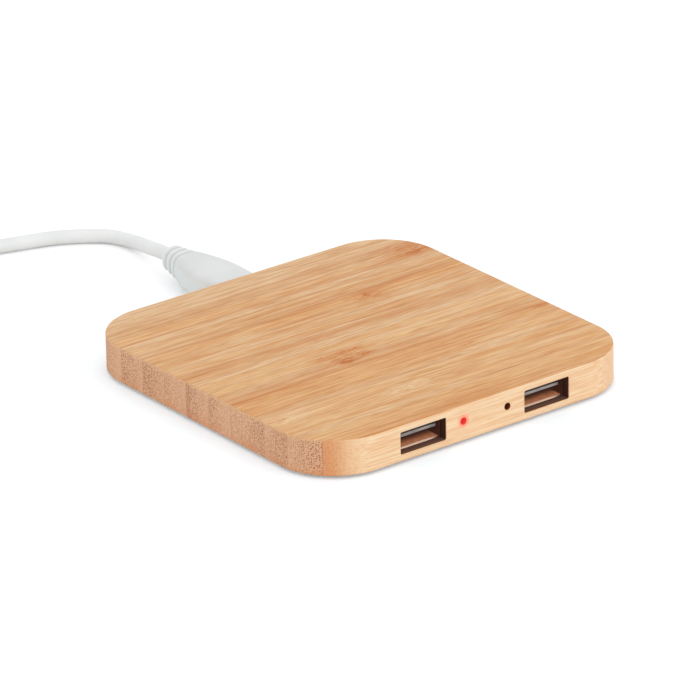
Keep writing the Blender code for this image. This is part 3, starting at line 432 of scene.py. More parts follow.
class Finish:
    """A material in the making: its main shader and what feeds it."""

    def __init__(self, name, **sockets):
        self.material = bpy.data.materials.new(name)
        self.material.use_nodes = True
        self.tree = self.material.node_tree
        self.shader = self.tree.nodes["Principled BSDF"]
        self.set(**sockets)

    def set(self, **sockets):
        for name, value in sockets.items():
            socket = self.shader.inputs[name.replace("_", " ").title().replace("Ior", "IOR")]
            if isinstance(value, Line):
                self.tree.links.new(value.socket, socket)
            else:
                socket.default_value = value

    def add(self, kind, settings=None, inputs=None, output=0):
        return add_node(self.tree, kind, settings, inputs, output)

    def millimetres(self):
        """The place on the piece, in millimetres."""
        place = self.add("TexCoord", output="Object")
        return self.add("VectorMath", {"operation": "SCALE"}, {0: place, "Scale": 1 / MM})

    def split(self, vector):
        return [self.add("SeparateXYZ", None, {0: vector}, output) for output in range(3)]

    def point(self, x, y, z):
        return self.add("CombineXYZ", None, {0: x, 1: y, 2: z})

    def noise(self, vector, scale, detail=2.0, roughness=0.5):
        inputs = {"Vector": vector, "Scale": scale, "Detail": detail, "Roughness": roughness}
        return self.add("TexNoise", None, inputs)

    def blend(self, share, first, second):
        inputs = {0: share, 6: first, 7: second}
        return self.add("Mix", {"data_type": "RGBA"}, inputs, output=2)

    def layers(self, colour, *layers):
        """Other colours laid over a colour, each with the share of it that shows."""
        for share, cover in layers:
            colour = self.blend(share, colour, cover)
        return colour

    def ramp(self, share, stops):
        return self.add("ValToRGB", {"stops": stops}, {0: share})

    def bump(self, height, strength, distance):
        inputs = {"Height": height, "Strength": strength, "Distance": distance}
        self.set(normal=self.add("Bump", None, inputs))


# Places on the bamboo, in millimetres
HALF_SIDE = SIDE / 2 / MM
SOCKET_X = [x / MM for x in SOCKET_PLACES]
LAMP_X = [x / MM for x in LAMP_PLACES]
# Where the strips meet, from the back to the front
STRIP_JOINTS = (45.0, 36.8, 28.8, 20.7, 12.5, 4.3, -3.9, -12.0, -16.1, -24.2, -32.2, -40.1, -45.0)
STRIP_BLUR = 0.09
GLUE_WIDTH = 0.12
# At each strip's back and front edge: how dense its fibre bundles are, and how dark it is
CROWDS = (
    (0.6, 0.2), (0.8, 0.1), (0.9, 0.35), (1.0, 0.4), (0.6, 0.3), (1.0, 0.2),
    (0.8, 0.15), (0.5, 0.42), (0.45, 0.9), (0.4, 1.0), (0.35, 0.85), (0.9, 0.3),
)
TONES = (
    (0.12, 0.27), (0.38, 0.58), (0.26, 0.61), (0.66, 0.43), (0.23, 0.62), (0.28, 0.34),
    (0.23, 0.53), (0.62, 0.51), (0.63, 0.46), (0.46, 0.24), (0.42, 0.27), (0.55, 0.75),
)
# Where the top's colours go from light to dark, and how its orange and its beige bands differ
WOOD_STOPS = (0.0, 0.45, 1.0)
ORANGE_CAST = (1.02, 0.99, 0.90, 1.0)
BEIGE_CAST = (0.98, 1.01, 1.09, 1.0)
# Dark fine streaks: where across, how wide and how strong
STREAKS = (
    (36.7, 0.3, 0.6),
    (29.2, 0.3, 0.55),
    (20.8, 0.28, 0.75),
    (5.2, 0.8, 0.5),
    (3.6, 0.3, 0.35),
    (-12.6, 0.7, 0.55),
    (-31.7, 0.3, 0.4),
    (-40.0, 0.35, 0.35),
    (-42.6, 0.6, 0.35),
)
# Knuckles of the cane: where along and across, how long and wide, and how dark
KNUCKLES = (
    (-11.0, -9.7, 2.4, 0.8, 1.4),
    (-13.5, -4.6, 3.0, 0.7, 0.5),
    (-5.6, -4.6, 3.0, 0.6, 0.55),
    (-5.0, -8.6, 3.0, 0.6, 0.55),
    (-9.5, -7.4, 7.0, 3.4, 0.5),
    (15.7, 17.6, 0.8, 0.6, 1.0),
    (16.2, 17.2, 5.0, 3.2, 0.52),
    (40.8, 30.5, 4.5, 0.9, 0.75),
    (41.0, 33.3, 7.5, 3.8, 0.55),
    (43.0, -12.8, 6.0, 1.2, 0.5),
    (15.8, -19.2, 2.4, 0.4, 0.65),
    (-22.5, -20.8, 3.0, 0.4, 0.5),
)
# Pale wavy patches, in the same way
PALE_PATCHES = (
    (21.0, -22.4, 18.0, 1.5, 0.6),
    (-39.0, -26.5, 6.0, 3.0, 0.8),
    (-9.0, -29.4, 7.5, 2.0, 0.95),
    (-20.5, 15.6, 5.0, 1.8, 0.5),
)


# Where along Y the mouths' walls get painted shade and the lamp holes their painted light and
# shade, and how far past the mouths' half width and half height the painted shade ends
MOUTH_SHADE_DEPTH = ((-44.9, -44.7), (-42.6, -42.55))
HOLE_LIGHT_AND_SHADE_DEPTH = ((-44.98, -44.9), (-41.6, -41.5))
MOUTH_SHADE_SIDES = (0.15, 0.10)
MOUTH_SHADE_ENDS = (0.12, 0.08)
# How far from the lamps' middles the painted light and shade in the holes ends, and where
# the lit lamp's glow, painted light on the wood, does
HOLE_LIGHT_AND_SHADE_RADIUS = (1.02, 0.98)
GLOW_RADIUS = (2.05, 0.70)
GLOW_DEPTH = (-42.0, -43.5)


def spots(x, y, places):
    """Soft spots added up, each long along X and wide along Y."""
    total = 0.0
    for along, across, length, width, strength in places:
        total = x.hump(along, length) * y.hump(across, width) * strength + total
    return total


def bands(wood, y, values):
    """A value that runs between each strip's two, from its back edge to its front edge."""
    stops = []
    for back, front, pair in zip(STRIP_JOINTS, STRIP_JOINTS[1:], values):
        for edge, value in zip((back - STRIP_BLUR, front + STRIP_BLUR), pair):
            stops.append(((HALF_SIDE - edge) / (2 * HALF_SIDE), (value, value, value, 1.0)))
    return wood.ramp((HALF_SIDE - y) / (2 * HALF_SIDE), stops)


def balance(*parts):
    """How far the values are from a half, each times its weight, added up."""
    total = 0.0
    for value, weight in parts:
        total = (value - 0.5) * weight + total
    return total


def bamboo_finish(settings):
    """Cane strips glued side by side, with the fibres along X.

    The fibres are a pattern in Y and Z that hardly changes along X: they show as fine lines
    on the top and the front, and as dark specks on the sawn ends. They bend at the knuckles
    and the pale patches. The mouths' walls carry painted shade, darker where they face
    sideways. The lit lamp's hole is painted red with its light, the unlit lamp's hole dark with
    painted shade, and the wood round the lit lamp glows with painted light. The sawn ends carry
    a painted highlight along their top edge, and painted light on the right end, paler towards
    the front.
    """
    wood = Finish("laminated_bamboo", specular_ior_level=0.25)
    x, y, z = wood.split(wood.millimetres())
    normal = wood.split(wood.add("TexCoord", output="Normal"))
    end_share = abs(normal[0]).rise(0.12, 0.52)
    density, tone = bands(wood, y, CROWDS), bands(wood, y, TONES)
    mark, pale = spots(x, y, KNUCKLES), spots(x, y, PALE_PATCHES)

    drift = wood.noise(wood.point(x * 0.016, y * 0.05, z * 0.05), 1.0) - 0.5
    wave = wood.noise(wood.point(x * 0.22, y * 0.35, z * 0.35), 1.0) - 0.5
    wander = y + drift * 1.6 + wave * (mark + pale).capped() * 4.2

    def grain(along, across, up, *noise):
        return wood.noise(wood.point(x * along, wander * across, z * up), *noise)

    broad = grain(0.010, 1.0, 1.0, 0.55, 3.0, 0.55)
    middle = grain(0.018, 1.0, 1.0, 1.15, 2.0, 0.7)
    fine = grain(0.010, 1.0, 1.0, 2.6, 3.0, 0.65)
    hair = grain(0.08, 1.0, 1.0, 1.7, 2.0, 0.7)
    dash = grain(0.11, 1.7, 1.7, 1.0, 2.0, 0.6)
    ripple = grain(0.30, 1.5, 1.0, 1.0, 3.0, 0.7)
    flame = grain(0.16, 1.1, 1.0, 1.0, 3.0, 0.65).rise(0.40, 0.62)
    threads = grain(0.013, 1.1, 1.1, 1.0, 3.0, 0.6)
    dark_threads = (1.0 - abs(threads - 0.46) * 9.0).math("MAXIMUM", 0.0)
    pale_threads = (1.0 - abs(threads - 0.60) * 9.0).math("MAXIMUM", 0.0)
    patch = wood.noise(wood.point(x * 0.05, y * 0.16, z * 0.16), 1.0)
    bundle_place = {"Vector": wood.point(x * 0.02, wander, z), "Scale": 2.0, "Randomness": 0.6}
    bundles = wood.add("TexVoronoi", None, bundle_place)
    specks = bundles.rise(0.46, 0.16) * density.rise(-0.12, 0.95)

    streak, joint = 0.0, 0.0
    for across, width, strength in STREAKS:
        streak = wander.hump(across, width) * strength + streak
    for edge in STRIP_JOINTS[1:-1]:
        joint = y.hump(edge, GLUE_WIDTH) + joint
    gaps = wood.noise(wood.point(x * 0.045, y * 0.3, z * 0.3), 1.0)
    streak = streak * gaps.rise(0.25, 0.6)
    stain = (mark * 1.3).capped() * ripple.rise(0.40, 0.58) + mark.rise(0.95, 1.40)

    # The top: each strip has its tone, and leans to beige or orange, less so at the back
    depth = balance(
        (tone, 0.70), (broad, 0.50), (middle, 1.15), (fine, 0.9), (hair, 0.85), (dash, 0.4),
        (patch, 0.6),
    )
    shades = (settings.light_wood[:], settings.middle_wood[:], settings.dark_wood[:])
    plain = wood.ramp(depth + 0.48, list(zip(WOOD_STOPS, shades)))
    hue = grain(0.014, 1.0, 1.0, 0.24, 1.0) - y * 0.0032 - y.rise(33.0, 40.0) * 0.15
    cast = wood.blend(hue.rise(0.34, 0.64), BEIGE_CAST, ORANGE_CAST)
    top = wood.layers(
        wood.add("VectorMath", {"operation": "MULTIPLY"}, {0: plain, 1: cast}),
        (dark_threads * hair.rise(0.35, 0.65) * 0.42, tint(190, 124, 70)),
        (pale_threads * dash.rise(0.35, 0.65) * 0.45, tint(246, 214, 170)),
        (streak * 0.85, tint(200, 122, 62)),
        ((pale * 1.4).capped() * ripple.rise(0.36, 0.58) * 0.70, tint(238, 206, 164)),
        ((mark * 2.4).capped() * flame * 0.55, tint(214, 140, 68)),
        (stain.capped() * 0.95, tint(196, 108, 40)),
    )

    # The sawn ends: specks where the bundles are cut, and a smoother, rustier front corner
    mottle = wood.noise(wood.point(x * 0.02, y, z), 1.5)
    rust = wood.layers(
        wood.blend(y.rise(-40.9, -44.7), tint(230, 160, 106), tint(248, 210, 162)),
        (specks * 0.14, tint(176, 110, 62)),
    )
    corner = y.rise(-39.9, -40.3) * x.rise(20.0, -20.0)
    end = wood.layers(
        wood.blend(patch, tint(233, 185, 149), tint(224, 171, 131)),
        (mottle.rise(0.40, 0.62) * 0.35, tint(240, 202, 168)),
        (density.rise(0.4, 1.0) * 0.15, tint(190, 134, 108)),
        (specks * 0.98, tint(148, 78, 36)),
        (joint * 0.35, tint(168, 108, 80)),
        (z.rise(3.4, 0.8) * patch.rise(0.38, 0.66) * 0.50, tint(228, 152, 100)),
        (y.hump(3.6, 0.5) * 0.35, tint(176, 104, 84)),
        # Painted highlight along the ends' top edge
        (z.rise(8.2, 9.0) * 0.4, tint(236, 192, 146)),
        # Painted light: the right end paler towards the front, where the key lamp lights it
        # brightly
        (x.rise(20.0, 45.0) * y.rise(0.0, -34.0) * 0.85, tint(252, 216, 174)),
        (corner * 0.80, rust),
    )

    # The front and the back: pale, with fine lines
    depth = balance((broad, 0.7), (middle, 0.9), (fine, 2.1), (hair, 1.1)) + 0.42
    face = wood.layers(
        wood.blend(depth.rise(0.0, 1.0), settings.pale_wood[:], tint(239, 190, 142)),
        (flame * patch.rise(0.45, 0.65) * 0.3, tint(240, 176, 122)),
    )
    colour = wood.layers(face, (end_share, end), (abs(normal[2]).rise(0.45, 0.92), top))

    # The mouths and the lamp holes
    sides = [MOUTH_WIDTH / 2 / MM + past for past in MOUTH_SHADE_SIDES]
    ends = [MOUTH_HEIGHT / 2 / MM + past for past in MOUTH_SHADE_ENDS]
    # Painted shade on the mouths' walls
    mouth_shade = 0.0
    for place_x in SOCKET_X:
        mouth_shade = abs(x - place_x).rise(*sides) + mouth_shade
    mouth_shade = mouth_shade * abs(z - SOCKET_Z / MM).rise(*ends) * y.between(*MOUTH_SHADE_DEPTH)
    # The painted shade's colour, darker on the walls that face sideways
    mouth_shade_colour = wood.blend(fine, tint(96, 68, 58), tint(142, 106, 90))
    mouth_shade_colour = wood.blend(abs(normal[0]).rise(0.3, 0.8), mouth_shade_colour, tint(72, 42, 36))
    from_lit, from_unlit = (
        ((x - place_x) ** 2.0 + (z - LAMP_Z / MM) ** 2.0) ** 0.5 for place_x in LAMP_X
    )
    # Painted light: a pink glow on the wood round the lit lamp
    glow = from_lit.rise(*GLOW_RADIUS) * y.rise(*GLOW_DEPTH)
    in_holes = y.between(*HOLE_LIGHT_AND_SHADE_DEPTH)
    colour = wood.layers(
        colour,
        (mouth_shade, mouth_shade_colour),
        (glow * 0.75, tint(246, 122, 110)),
        # Painted light in the lit lamp's hole, red, and painted shade in the unlit lamp's hole
        (from_lit.rise(*HOLE_LIGHT_AND_SHADE_RADIUS) * in_holes, tint(214, 76, 66)),
        (from_unlit.rise(*HOLE_LIGHT_AND_SHADE_RADIUS) * in_holes, tint(134, 64, 40)),
    )
    wood.set(
        base_color=colour,
        roughness=0.55 + (fine - 0.5) * 0.2,
        # Painted light: the glow round the lit lamp, as emission
        emission_color=wood.blend(glow, (0.0, 0.0, 0.0, 1.0), tint(214, 66, 60)),
        emission_strength=0.42,
    )
    height = (fine * 0.6 + hair * 0.4) * (1.0 - end_share) + (1.0 - specks) * end_share
    wood.bump(height, 0.3, 0.00006)
    return wood.material


# Near plug, in millimetres: how high its painted paler, cooler lower sides reach, how wide the
# painted shade in its grooves is, and how far off and how wide the painted highlight on the ribs
COOL_SIDES = (7.8, 5.4)
GROOVE_SHADE_WIDTH = 0.40
RIB_HIGHLIGHT_OFFSET = 1.25
RIB_HIGHLIGHT_WIDTH = 0.45


def moulded_finish(name, colour, roughness, grain=3.0, depth=0.00002, spread=0.03, grooves=()):
    """Moulded plastic: a fine even texture, and a slight change of colour over the piece.

    A plug with grooves, given by their places along Y, gets painted shade in them and a painted
    highlight on the ribs between them, and its lower sides are painted paler and cooler to offset
    the ground's warm bounce light.
    """
    plastic = Finish(name)
    place = plastic.millimetres()
    _, y, z = plastic.split(place)
    cloud = plastic.noise(place, 0.12)
    fine = plastic.noise(place, grain)
    paler = tuple(min(1.0, share * (1 + spread)) for share in colour[:3])
    darker = tuple(share * (1 - spread) for share in colour[:3])
    base = plastic.blend(cloud.rise(0.3, 0.7), (*darker, 1.0), (*paler, 1.0))
    if grooves:
        # Painted light: the lower sides paler and cooler, offsetting the ground's warm bounce light
        base = plastic.blend(z.rise(*COOL_SIDES) * 0.85, base, tint(233, 242, 245))
    # Painted shade in each groove and a painted highlight on the rib past it
    for groove in grooves:
        base = plastic.layers(
            base,
            (y.hump(groove, GROOVE_SHADE_WIDTH) * 0.60, tint(186, 189, 189)),
            (y.hump(groove + RIB_HIGHLIGHT_OFFSET, RIB_HIGHLIGHT_WIDTH) * 0.60, tint(252, 253, 252)),
        )
    plastic.set(base_color=base, roughness=roughness + (fine - 0.5) * 0.12)
    plastic.bump(fine, 0.3, depth)
    return plastic.material


def metal_finish(name, colour, roughness, along=(1.0, 0.06, 1.0), wear=0.15):
    """Rolled sheet or wire: fine lines drawn out one way, and slight stains."""
    metal = Finish(name, metallic=1.0)
    place = metal.millimetres()
    x, y, z = metal.split(place)
    lines = metal.noise(metal.point(x * along[0], y * along[1], z * along[2]), 7.0, 3.0, 0.6)
    stain = metal.noise(place, 0.5, 3.0)
    darker = tuple(share * (1 - wear) for share in colour[:3])
    metal.set(
        base_color=metal.blend(stain.rise(0.35, 0.65), (*darker, 1.0), colour),
        roughness=roughness + (lines - 0.5) * 0.22,
    )
    metal.bump(lines, 0.15, 0.00001)
    return metal.material


def board_finish():
    """Green lacquer over copper tracks, which show as paler lines with square turns."""
    board = Finish("board_lacquer", coat_weight=0.4)
    place = board.millimetres()
    y = board.split(place)[1]
    cells = board.add("TexVoronoi", {"distance": "MANHATTAN"}, {"Vector": place, "Scale": 0.28})
    across = (y * 0.9 + cells * 2.2).math("FRACT")
    tracks = abs(across - 0.5).rise(0.2, 0.12)
    weave = board.add("TexWave", {"bands_direction": "DIAGONAL"}, {"Vector": place, "Scale": 1.2})
    base = board.blend(tracks * 0.7, tint(24, 92, 48), tint(52, 132, 74))
    board.set(
        base_color=board.blend(weave * 0.12, base, tint(16, 70, 36)),
        roughness=0.35 + tracks * 0.1,
    )
    board.bump(tracks, 0.2, 0.00003)
    return board.material


def speckled_finish(name, colour, fleck, roughness, scale=2.5):
    """Pressed or fired powder: small flecks in an even ground."""
    powder = Finish(name)
    place = powder.millimetres()
    cells = powder.add("TexVoronoi", None, {"Vector": place, "Scale": scale})
    flecks = cells.rise(0.3, 0.12)
    powder.set(
        base_color=powder.blend(flecks * 0.5, colour, fleck),
        roughness=roughness + powder.noise(place, 1.5) * 0.15,
    )
    powder.bump(cells, 0.2, 0.00002)
    return powder.material


# Sockets, in millimetres: where along Y the painted shade darkens a shell's floor deeper in, how
# deep and how high the painted highlight on its lip is, where right of the middle and how softly
# that highlight fades
SHELL_SHADE = (-37.4, -41.2)
LIP_HIGHLIGHT_DEPTH = (-41.75, -41.85)
LIP_HIGHLIGHT_HIGH = (2.72, 2.62)
LIP_HIGHLIGHT_END = 6.3
LIP_HIGHLIGHT_FADE = 1.4


def shell_with_painted_light():
    """Sheet metal whose colour is mostly painted light: a painted highlight on the front lip,
    painted shade on the walls and deeper in, a copper-coloured painted reflection on the floor,
    and a painted glow.
    """
    shell = Finish("socket_shell", metallic=0.35)
    x, y, z = shell.split(shell.millimetres())
    lines = shell.noise(shell.point(x * 0.2, y * 0.2, z), 5.0, 3.0, 0.6)
    up = shell.split(shell.add("TexCoord", output="Normal"))[2].rise(0.5, 0.9)
    # Painted reflection on the floor, copper-coloured, and painted shade on the walls
    copper = shell.blend(lines.rise(0.3, 0.7), tint(226, 148, 104), tint(196, 128, 92))
    wall = shell.blend(lines, tint(58, 34, 28), tint(84, 50, 40))
    colour = shell.blend(up, wall, copper)
    # Painted shade deeper in the shell
    near = y.rise(*SHELL_SHADE)
    colour = shell.blend(near, tint(66, 40, 32), colour)
    # Painted highlight on the front lip, fading towards its right end
    lip = y.rise(*LIP_HIGHLIGHT_DEPTH) * z.rise(*LIP_HIGHLIGHT_HIGH)
    for place_x in SOCKET_X:
        lip = lip * (1.0 - x.hump(place_x + LIP_HIGHLIGHT_END, LIP_HIGHLIGHT_FADE))
    colour = shell.blend(lip, colour, tint(244, 214, 190))
    # Painted light: the shell glows a little, and less deeper in
    shell.set(
        base_color=colour,
        roughness=0.42 + (lines - 0.5) * 0.2,
        emission_color=shell.blend(near, tint(92, 60, 50), colour),
        emission_strength=0.33,
    )
    shell.bump(lines, 0.15, 0.00001)
    return shell.material


def tongue_colour_and_shade():
    """Grey moulded tongue, with painted shadow nearly black at its upper edge and painted shade
    deeper in.
    """
    tongue = Finish("socket_tongue")
    x, y, z = tongue.split(tongue.millimetres())
    streaks = tongue.noise(tongue.point(x * 0.12, y * 0.2, z), 2.6)
    colour = tongue.blend(streaks.rise(0.35, 0.65), tint(154, 150, 148), tint(188, 184, 181))
    # Painted shadow, nearly black, along the upper edge
    colour = tongue.blend(z.rise(5.50, 5.56), colour, tint(52, 42, 40))
    tongue.set(
        # Painted shade deeper in
        base_color=tongue.blend(y.rise(-42.0, -41.0), colour, tint(70, 66, 66)),
        roughness=0.4 + (streaks - 0.5) * 0.2,
    )
    tongue.bump(streaks, 0.15, 0.00001)
    return tongue.material


def lamp_finish(name, colour, strength, core):
    """Clear cast lamp, with clouds of its core's colour."""
    lamp = Finish(name, roughness=0.15)
    cloud = lamp.noise(lamp.millimetres(), 1.2, 1.0)
    lamp.set(
        base_color=lamp.blend(cloud * 0.3, colour, core),
        emission_color=lamp.blend(cloud * 0.25, core, colour),
        emission_strength=strength,
    )
    return lamp.material


# Settings


def colour_setting(name, description, default):
    return FloatVectorProperty(
        name=name, description=description, default=default, subtype="COLOR", size=4
    )


class PadSettings(bpy.types.PropertyGroup):
    """Colours and edges of the bamboo block."""

    light_wood: colour_setting("Light wood", "Palest fibres on the top", tint(235, 197, 150))
    middle_wood: colour_setting("Middle wood", "Most of the top", tint(222, 168, 114))
    dark_wood: colour_setting("Dark wood", "Darkest fibres on the top", tint(208, 134, 68))
    pale_wood: colour_setting("Pale wood", "Front and back faces", tint(254, 226, 188))
    edge_round: FloatProperty(
        name="Edge round", description="Radius of the block's outer edges", subtype="DISTANCE",
        unit="LENGTH", default=0.3 * MM, min=0.1 * MM, max=0.5 * MM,
    )
    lip_round: FloatProperty(
        name="Lip round", description="How far the lips of the milled mouths are eased",
        subtype="DISTANCE", unit="LENGTH", default=0.1 * MM, min=0.02 * MM, max=0.2 * MM,
    )


class CableSettings(bpy.types.PropertyGroup):
    """Colours of the cable."""

    sheath: colour_setting("Sheath", "Colour of the cord", tint(239, 241, 241))
    moulding: colour_setting("Moulding", "Colour of the moulded plugs", tint(226, 228, 228))


class StageSettings(bpy.types.PropertyGroup):
    """Light and ground."""

    sky_level: FloatProperty(
        name="Sky level", description="Even light from all round", default=0.90, min=0.0, max=2.0,
    )
    key_power: FloatProperty(
        name="Key power", description="Power of the large lamp at the front right", unit="POWER",
        default=3.2, min=0.0, max=50.0,
    )
    floor_colour: colour_setting("Floor", "Colour of the ground", (0.90, 0.88, 0.86, 1.0))
    shadow_colour: colour_setting(
        "Shadow", "How much of the light on the ground the camera sees", (0.96, 0.96, 0.97, 1.0)
    )


# Operators


class StageOperator(bpy.types.Operator):
    """Makes the camera, the light and the ground"""

    bl_idname = "charging_pad.stage"
    bl_label = "Stage"

    def execute(self, context):
        stage = context.scene.stage_settings
        self.camera(context)
        self.lights(context, stage)
        self.ground(context, stage)
        context.scene.view_settings.view_transform = "Standard"
        return {"FINISHED"}

    def camera(self, context):
        axes = Matrix.Identity(3)
        for turn, axis in ((CAMERA_AZIMUTH, "Z"), (90 - CAMERA_ELEVATION, "X"), (CAMERA_ROLL, "Z")):
            axes = axes @ Matrix.Rotation(math.radians(turn), 3, axis)
        camera = new_object("camera", bpy.data.cameras.new("camera"))
        camera.data.lens = CAMERA_LENS
        camera.data.sensor_width = SENSOR_WIDTH
        place = Vector(CAMERA_TARGET) + axes.col[2] * CAMERA_DISTANCE
        camera.matrix_world = Matrix.Translation(place) @ axes.to_4x4()
        context.scene.camera = camera

    def lights(self, context, stage):
        world = bpy.data.worlds.new("even_sky")
        world.use_nodes = True
        tree = world.node_tree
        rays = tree.nodes.new("ShaderNodeLightPath").outputs
        seen = 0.0
        for name in ("Is Camera Ray", "Is Glossy Ray", "Is Transmission Ray"):
            seen = Line(tree, rays[name]) + seen
        back = tree.nodes["Background"]
        back.inputs["Color"].default_value = (1.0, 1.0, 1.0, 1.0)
        level = seen.capped() * (1.0 - stage.sky_level) + stage.sky_level
        tree.links.new(level.socket, back.inputs["Strength"])
        context.scene.world = world
        lamp = new_object("key_lamp", bpy.data.lights.new("key_lamp", "AREA"))
        lamp.data.energy = stage.key_power
        lamp.data.size = LAMP_SIZE
        lamp.location = LAMP_PLACE
        lamp.rotation_mode = "QUATERNION"
        lamp.rotation_quaternion = (-lamp.location).to_track_quat("-Z", "Y")

    def ground(self, context, stage):
        """A wide plane that the camera sees lit by itself a little, so that it is white."""
        mesh = bpy.data.meshes.new("ground")
        corners = ((-1, -1), (1, -1), (1, 1), (-1, 1))
        points = [(x * GROUND_REACH, y * GROUND_REACH, GROUND_Z) for x, y in corners]
        mesh.from_pydata(points, [], [(0, 1, 2, 3)])
        ground = new_object("ground", mesh)
        floor = Finish("ground", roughness=1.0, specular_ior_level=0.0)
        tree = floor.tree
        seen = floor.add("LightPath", output="Is Camera Ray")
        floor.set(base_color=floor.blend(seen, stage.floor_colour[:], stage.shadow_colour[:]))
        x, y, _ = floor.split(floor.millimetres())
        behind = y.rise(44.0, 58.0).math("MAXIMUM", x.rise(-54.0, -66.0))
        glow = floor.blend(behind, GROUND_LIGHT_NEAR, GROUND_LIGHT_BEHIND)
        lift = floor.add("Emission", None, {"Color": glow, "Strength": seen})
        both = floor.add("AddShader", None, {0: Line(tree, floor.shader.outputs[0]), 1: lift})
        under = floor.add("NewGeometry", output="Backfacing")
        clear = floor.add("BsdfTransparent")
        shown = floor.add("MixShader", None, {0: under, 1: both, 2: clear})
        output = tree.nodes["Material Output"]
        tree.links.new(shown.socket, output.inputs["Surface"])
        mesh.materials.append(floor.material)


class CordOperator(bpy.types.Operator):
    """Makes the cord from the plug in the pad to the far plug, with its put-away loops"""

    bl_idname = "charging_pad.cord"
    bl_label = "Cord"

    def execute(self, context):
        path = self.route()
        cord = surface("cord", tube_rows(path, CORD_DIAMETER / 2))
        finish = moulded_finish("cord_sheath", context.scene.cable_settings.sheath[:], 0.42)
        dress(cord, "cable", "cord_sheath", finish, "cord_front", "cord_loops", "cord_tail")
        return {"FINISHED"}

    def route(self):
        """The free run, the loops in two layers, and the run into the far plug."""
        start = np.array(CORD_START)
        right, back, drop = np.array(CORD_ROUTE).T
        z = CORD_REST_Z + (start[2] - CORD_REST_Z) * drop
        z[-1] = LOOPS_Z
        free = curve_through(joined(start[0] + right, start[1] + back, z), MM)

        spread = LOOP_PITCH * LOOPS_PER_LAYER / 2
        outer, inner = LOOPS_MIDDLE_RADIUS + spread, LOOPS_MIDDLE_RADIUS - spread
        lead_in = free[-1] - (TOUCH_GAP + CORD_DIAMETER, 0, 0)
        turn = np.linspace(0, 2 * LOOPS_PER_LAYER + 0.5, LOOP_POINTS)
        climb = np.clip(turn - LOOPS_PER_LAYER, 0, 0.5)
        radius = np.where(turn <= LOOPS_PER_LAYER, outer - LOOP_PITCH * turn, inner)
        radius = radius - LOOP_PITCH * (climb - 2 * climb**2)
        radius = radius + LOOP_PITCH * np.maximum(turn - LOOPS_PER_LAYER - 0.5, 0)
        rise = (2 * climb) ** 2 * (3 - 4 * climb)
        angle = 2 * np.pi * (turn + 0.25)
        loops = joined(
            lead_in[0] + radius * np.cos(angle),
            lead_in[1] - outer + radius * np.sin(angle),
            LOOPS_Z + LOOP_PITCH * rise,
        )
        share = np.linspace(0, 1, TAIL_POINTS)
        run = joined(
            loops[-1, 0],
            loops[-1, 1] - CORD_DIAMETER - TOUCH_GAP - TAIL_RUN * share,
            loops[-1, 2] + (FAR_PLUG_Z - loops[-1, 2]) * share**2 * (3 - 2 * share),
        )
        return even(np.vstack([free, loops, run]), CORD_SPACING)


